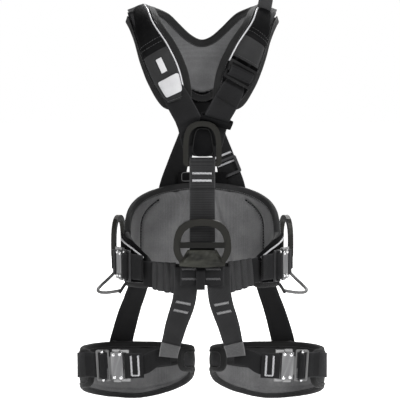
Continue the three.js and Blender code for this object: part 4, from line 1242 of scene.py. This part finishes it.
class Buckle:
    """A buckle's own frame, read from its adjuster bar: X to the body, Y across the strap, Z outwards."""

    def __init__(self, prefix):
        bar = np.unique(np.round([v.co[:] for v in NODES[f"{prefix}_adjuster_bar"].data.vertices], 6), axis=0)
        offsets = bar[1:] - bar[0]
        sizes = np.linalg.norm(offsets, axis=1)
        x, z, y = (None, None, None)
        middle_of = lambda part: np.array(middle(f"{prefix}_{part}"))
        for size, axis in ((6.0, "x"), (4.4, "z"), (54.0, "y")):
            edge = offsets[np.abs(sizes - size * MM).argmin()]
            edge = edge / np.linalg.norm(edge)
            if axis == "x":
                x = edge * np.sign(edge @ (middle_of("buckle_body") - middle_of("adjuster_bar")))
            elif axis == "z":
                z = edge * np.sign(edge @ (bar.mean(axis=0) - middle_of("buckle_tongue")))
        y = np.cross(z, x)
        self.axes = np.array([x, y, z])
        self.origin = bar.mean(axis=0) - (-18.5 * x + 4.4 * z) * MM

    def at(self, x, y, z):
        return self.origin + (np.stack(np.broadcast_arrays(x, y, z), -1) * MM) @ self.axes


def add_head(at, out, radius, height):
    """The domed head of a rivet: rings of points, standing on a surface."""
    side = np.cross(out, (0.3, 0.5, 0.81))
    side /= np.linalg.norm(side)
    other = np.cross(out, side)
    angle = np.arange(20) * 2 * math.pi / 20
    circle = np.cos(angle)[:, None] * side + np.sin(angle)[:, None] * other
    profile = [(1.0, -0.2), (1.0, 0.25), (0.93, 0.55), (0.74, 0.82), (0.42, 0.97), (0.1, 1.0)]
    return np.array([at + circle * radius * r + out * height * h for r, h in profile])


def add_heads(name, heads, look):
    points = np.concatenate([head.reshape(-1, 3) for head in heads])
    count, size, _ = heads[0].shape
    faces = [tuple(k * count * size + i for i in face) for k in range(len(heads))
             for face in ring_faces(count, size)]
    return add_mesh(name, points, faces, look)


ADJUSTER_PATH = [(-58, -5.4), (-46, -5.4), (-36, -5.4), (-27, -5.0), (-20, -3.9), (-15.5, -1.2), (-13.5, 2.6),
                 (-14.6, 7.0), (-18.5, 8.4), (-22.4, 7.2), (-24.2, 3.2), (-25.4, -0.4), (-29.5, -3.0),
                 (-36, -3.1), (-46, -3.1), (-58, -3.1)]
BUCKLES = {}
for where, fall in (("waist", 0.0023), ("leg", 0.0025)):
    for name, side in SIDES:
        prefix = f"{where}_{name}"
        buckle = BUCKLES[prefix] = Buckle(prefix)
        path = [buckle.at(x, 0, z - fall * x * x * soft(-x, 34, 44)) for x, z in ADJUSTER_PATH]
        loop = lay_metres(path, buckle.axes[1], 22.3)
        web = add_webbing(f"{prefix}_adjuster_web", loop, "webbing", step=0.0012, seed=len(prefix) + side)
        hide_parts(f"{prefix}_adjuster_loop")
        tuple(buckle.at(-52, 0, 0))
        tuple(buckle.at(-27, 0, 0))
        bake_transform(web)
        body = RIDES[f"{prefix}_buckle_body"]
        rivets = [add_head(buckle.at(x, y, 4.75), buckle.axes[2], 0.0033, 0.0021)
                  for x, y in ((2, 20), (2, -20), (14, 21), (14, -21))]
        keep(add_heads(f"{prefix}_rivets", rivets, "rivet"), body, "plate")
        screws = [add_head(buckle.at(-18.5, y, 6.5), buckle.axes[2], 0.0024, 0.0011) for y in (25.0, -25.0)]
        keep(add_heads(f"{prefix}_bar_screws", screws, "rivet"), f"{prefix}_bar", "frame")

# The sewn U that closes each leg panel round its buckle, and the folded end of each leg strap.
for name, side in SIDES:
    buckle, body = BUCKLES[f"leg_{name}"], f"leg_loop_{name}"
    panel = BANDS[f"leg_{name}_front_panel"].facing(buckle.axes[2])
    near = lambda band, point: band.s[int(np.linalg.norm(band.centre - point, axis=1).argmin())]
    marks = [near(panel, buckle.at(x, 0, 3)) for x in (33, 45)]
    sign = 1 if panel.at(marks[0])[2][0] @ buckle.axes[2] > 0 else -1
    shine = Thread(0.0006)
    for s in marks:
        tack_across(shine, panel, s, 0.0012 * sign, 0.0038, -0.78, 0.78)
    low = -0.78 if panel.at(marks[0])[1][0][2] > 0 else 0.78
    tack_along(shine, panel, low, *sorted(marks), 0.0012 * sign, 0.003)
    keep(shine.add(f"leg_{name}_panel_tacks", "reflective"), body)

    strap = BANDS[f"leg_front_strap_{name}"]
    bottom = 0 if strap.centre[0, 2] < strap.centre[-1, 2] else strap.length
    ends = sorted((abs(bottom - 0.0005), abs(bottom - 0.0245)))
    block = strap.part(*ends)
    block = Band(block.centre + block.out * 0.0021, block.across, block.out, block.half * 1.03)
    keep(add_webbing(f"leg_strap_fold_{name}", block, "webbing_pale", 0.0022, 0.0012, seed=5), body, "webbing_gray")
    seams = Thread(0.00042)
    sew_box(seams, block, 0.003, block.length - 0.003, 0.0012)
    keep(seams.add(f"leg_strap_fold_{name}_stitching", "dim_tape"), body)

# A black cover over each wing of the belt pad, standing above its edge, with reflective piping.
WING_EDGE = [(89, 64), (96, 63.5), (105, 62), (112, 60), (119, 56.5), (128, 47.5), (135, 36.5), (137, 33)]
WING_PIPING = [(90, 54), (100, 52), (110, 48.5), (120, 43), (128, 36), (134, 29)]


def wing_point(side, deg, z, w):
    """A point w mm out from the inner face of the belt pad, and the outward vector there."""
    a = np.radians(side * np.asarray(deg, float))
    out = unit(xyz(np.sin(a) / WAIST[0], np.cos(a) / WAIST[1], 0.0 * a))
    inner = xyz(WAIST[0] * np.sin(a), WAIST[1] * np.cos(a), z)
    return np.array(WAIST_AT) + (inner + out * np.asarray(w, float)[..., None]) * MM, out


for name, side in SIDES:
    deg, share = np.meshgrid(np.linspace(89, 137, 60), np.linspace(0, 1, 14), indexing="ij")
    edge = np.interp(deg, *zip(*WING_EDGE))
    z = 25 + (edge - 25) * share
    lift = 16.6 + 0.7 * np.sin(deg * 0.33 + share * 3) * share + 1.0 * share ** 6
    top, outs = wing_point(side, deg, z, lift)
    keep(add_sheet(f"belt_wing_{name}", top, outs, "cover", 0.0022))
    line = smooth_path([(*station, 0) for station in WING_PIPING], 1.0)
    points, _ = wing_point(side, line[:, 0], line[:, 1], np.full(len(line), 17.4))
    keep(add_cord(f"belt_piping_{name}", points, 0.0016, "reflective"))

# Tabs that hold the ends of the gear loops to the belt.
for name, side in SIDES:
    for end, path in (("rear", [(141, 16, 18), (145, 16, 9), (152, 16, 0), (157, 16, -9)]),
                      ("front", [(130, -49, -8), (133, -49, -18), (141, -49, -29), (147, -49, -39)])):
        tab = lay([(side * x, y, z) for x, y, z in path], (0, 1, 0), 7)
        keep(add_webbing(f"gear_tab_{end}_{name}", tab, "webbing", 0.0045, 0.0012, seed=len(name + end)))

# ---- Yoke fittings ----

# The left strap's doubled end below its adjuster, and the fold of it over the adjuster's bar.
strap = BANDS["shoulder_strap_left"].facing(FRONT)
height = (strap.centre[:, 2] - place(0, 0, 0).z) / MM
front = strap.centre[:, 1] < place(0, 0, 0).y
at_height = lambda z: strap.s[int(np.where(front, np.abs(height - z), 1e3).argmin())]
tail = strap.part(*sorted((at_height(268), at_height(300))))
tail = Band(tail.centre + tail.out * 0.0022, tail.across, tail.out, tail.half * 0.97)
keep(add_webbing("shoulder_tail_web", tail, "webbing", step=0.0012, seed=31))
keep(add_keeper("shoulder_keeper", strap, at_height(276), "cover", 0.014, -0.0024, 0.0046, 0.005))
slide = np.array(middle("shoulder_adjuster_bar"))
_, across, out, _ = (part[0] for part in strap.at(strap.s[int(np.linalg.norm(strap.centre - slide, axis=1).argmin())]))
down = unit(np.cross(across, out))
down = down * -np.sign(down[2])
FOLD = [(13, -7.0), (10.5, -5.6), (8.2, -2.8), (6.8, 1.0), (4.4, 3.2), (0, 3.7), (-4.4, 3.2), (-6.8, 1.0),
        (-8.2, -2.8), (-10.5, -5.6), (-13, -7.0)]
fold = [slide + down * d * MM + out * h * MM for d, h in FOLD]
fold = lay_metres(fold, across, 21.8).facing(out)
keep(add_webbing("shoulder_adjuster_web", fold, "webbing", step=0.0012, seed=33), "shoulder_bar")

# A strap end standing up over the left shoulder, and a short one beside the right.
stub = lay([(103, -34, 442), (107, -41, 457), (110, -43, 471), (112, -41, 483)], (0.88, 0, -0.47), 12.5)
keep(add_webbing("left_shoulder_stub", stub.facing(FRONT), "panel_web", 0.0026, 0.0012, seed=41))
stub = lay([(-114, -42, 434), (-119, -44, 447), (-122, -43, 459)], (0.9, 0, 0.43), 9.5)
keep(add_webbing("right_shoulder_stub", stub.facing(FRONT), "webbing", 0.0026, 0.0012, seed=42))

# ---- Sewn ends ----
seams = Thread(0.00042)
for name, side in SIDES:
    strap = BANDS[f"back_strap_{name}"].facing(-FRONT)
    for low, high in ((strap.length - 0.034, strap.length - 0.006), (0.006, 0.034)):
        sew_box(seams, strap, low, high, 0.0011)
    strap = BANDS[f"shoulder_strap_{name}"].facing(-FRONT)
    behind = strap.length if strap.centre[-1, 1] > strap.centre[0, 1] else 0
    sew_box(seams, strap, *sorted((abs(behind - 0.005), abs(behind - 0.03))), 0.0011)
    strap = BANDS[f"leg_rear_strap_{name}"]
    ends = [(0.006, 0.034), (strap.length - 0.034, strap.length - 0.006)]
    if strap.centre[0, 2] < strap.centre[-1, 2]:
        ends = ends[::-1]
    low_seams = Thread(0.00042)
    for lift in (0.0011, -0.0011):
        sew_box(seams, strap, *ends[0], lift)
        sew_box(low_seams, strap, *ends[1], lift)
    keep(low_seams.add(f"leg_rear_strap_{name}_sewn_end", "gray_thread"), f"leg_loop_{name}")
rear = BANDS["rear_belt_webbing"]
for s in np.linspace(0.03, rear.length - 0.03, 9):
    for lift in (0.0011, -0.0011):
        tack_across(seams, rear, s, lift, 0.002, -0.7, 0.7)
keep(seams.add("sewn_ends", "gray_thread"))


# ---- Hardware ----
for node, piece in NODES.items():
    slot = next(part["material_slot"] for part in frame["record"]["subparts"] if part["node"] == node)
    piece.data.materials.clear()
    look = "slide" if node.startswith("shoulder") else "frame_gray" if "leg" in node and "tongue" in node else slot
    piece.data.materials.append(LOOK[look])
    if slot == "loop":
        piece.modifiers.new("Weld", "WELD").merge_threshold = 0.00001
        smooth = piece.modifiers.new("Subdivision", "SUBSURF")
        smooth.levels = smooth.render_levels = 2
        piece.data.polygons.foreach_set("use_smooth", [True] * len(piece.data.polygons))
        continue
    soften = piece.modifiers.new("Bevel", "BEVEL")
    soften.width = 0.0022 if slot == "ring" else 0.0012 if look == "slide" else 0.0006
    soften.segments = 3
    soften.limit_method = "ANGLE"
    soften.angle_limit = math.radians(35)
    piece.modifiers.new("Weighted Normal", "WEIGHTED_NORMAL").weight = 80

# ---- Studio ----
low, high = CAD_BOUNDS


def add_stage():
    """A wide pale floor that fades into the backdrop."""
    angle = np.linspace(0, 2 * math.pi, 49)[:-1]
    rim = [(9 * math.cos(t), 9 * math.sin(t), low[2] - 0.006) for t in angle]
    floor = Finish("pale_floor", 0.95)
    floor.color((0.9, 0.9, 0.9, 1))
    floor.feed(floor.shader.inputs["Emission Color"], (1, 1, 1, 1))
    # The camera sees it nearly white; the part is lit by it more gently.
    seen = floor.node("LightPath").outputs["Is Camera Ray"]
    floor.feed(floor.shader.inputs["Emission Strength"], floor.math("MULTIPLY_ADD", seen, 0.32, 0.55))
    LOOK["floor"] = floor.material
    add_mesh("floor", rim, [tuple(range(len(rim)))], "floor")


def add_backdrop(strength):
    """A world that lights softly and evenly, and that the camera sees as white."""
    world = bpy.data.worlds.new("studio")
    world.use_nodes = True
    tree = world.node_tree
    seen = tree.nodes.new("ShaderNodeLightPath")
    level = tree.nodes.new("ShaderNodeMapRange")
    level.inputs["To Min"].default_value, level.inputs["To Max"].default_value = strength, 1.0
    tree.links.new(seen.outputs["Is Camera Ray"], level.inputs["Value"])
    tree.nodes["Background"].inputs["Color"].default_value = (1, 1, 1, 1)
    tree.links.new(level.outputs["Result"], tree.nodes["Background"].inputs["Strength"])
    bpy.context.scene.world = world


def add_light(name, at, size, power, aim):
    data = bpy.data.lights.new(name, "AREA")
    data.shape, data.size, data.energy = "DISK", size, power
    lamp = bpy.data.objects.new(name, data)
    lamp.location = at
    lamp.rotation_euler = (Vector(aim) - Vector(at)).to_track_quat("-Z", "Y").to_euler()
    bpy.context.collection.objects.link(lamp)


add_stage()
aim = place(0, 0, 120)
add_light("key", place(1000, -1500, 1500), 0.9, 38, aim)
add_light("fill", place(-1500, -1300, 600), 1.6, 10, aim)
add_light("rim", place(300, 1300, 1500), 1.2, 42, aim)
add_backdrop(0.16)
bpy.context.scene.view_settings.view_transform = "Standard"

# The camera looks from the front and a little above, from three metres.
ELEVATION = math.radians(6)
target = place(-4, 0, 121.7)
camera = bpy.data.objects.new("camera", bpy.data.cameras.new("camera"))
camera.data.angle = 2 * math.atan(0.360 / 3.0)
camera.location = target + 3.0 * Vector((0, -math.cos(ELEVATION), math.sin(ELEVATION)))
camera.rotation_euler = (target - camera.location).to_track_quat("-Z", "Y").to_euler()
bpy.context.collection.objects.link(camera)
bpy.context.scene.camera = camera
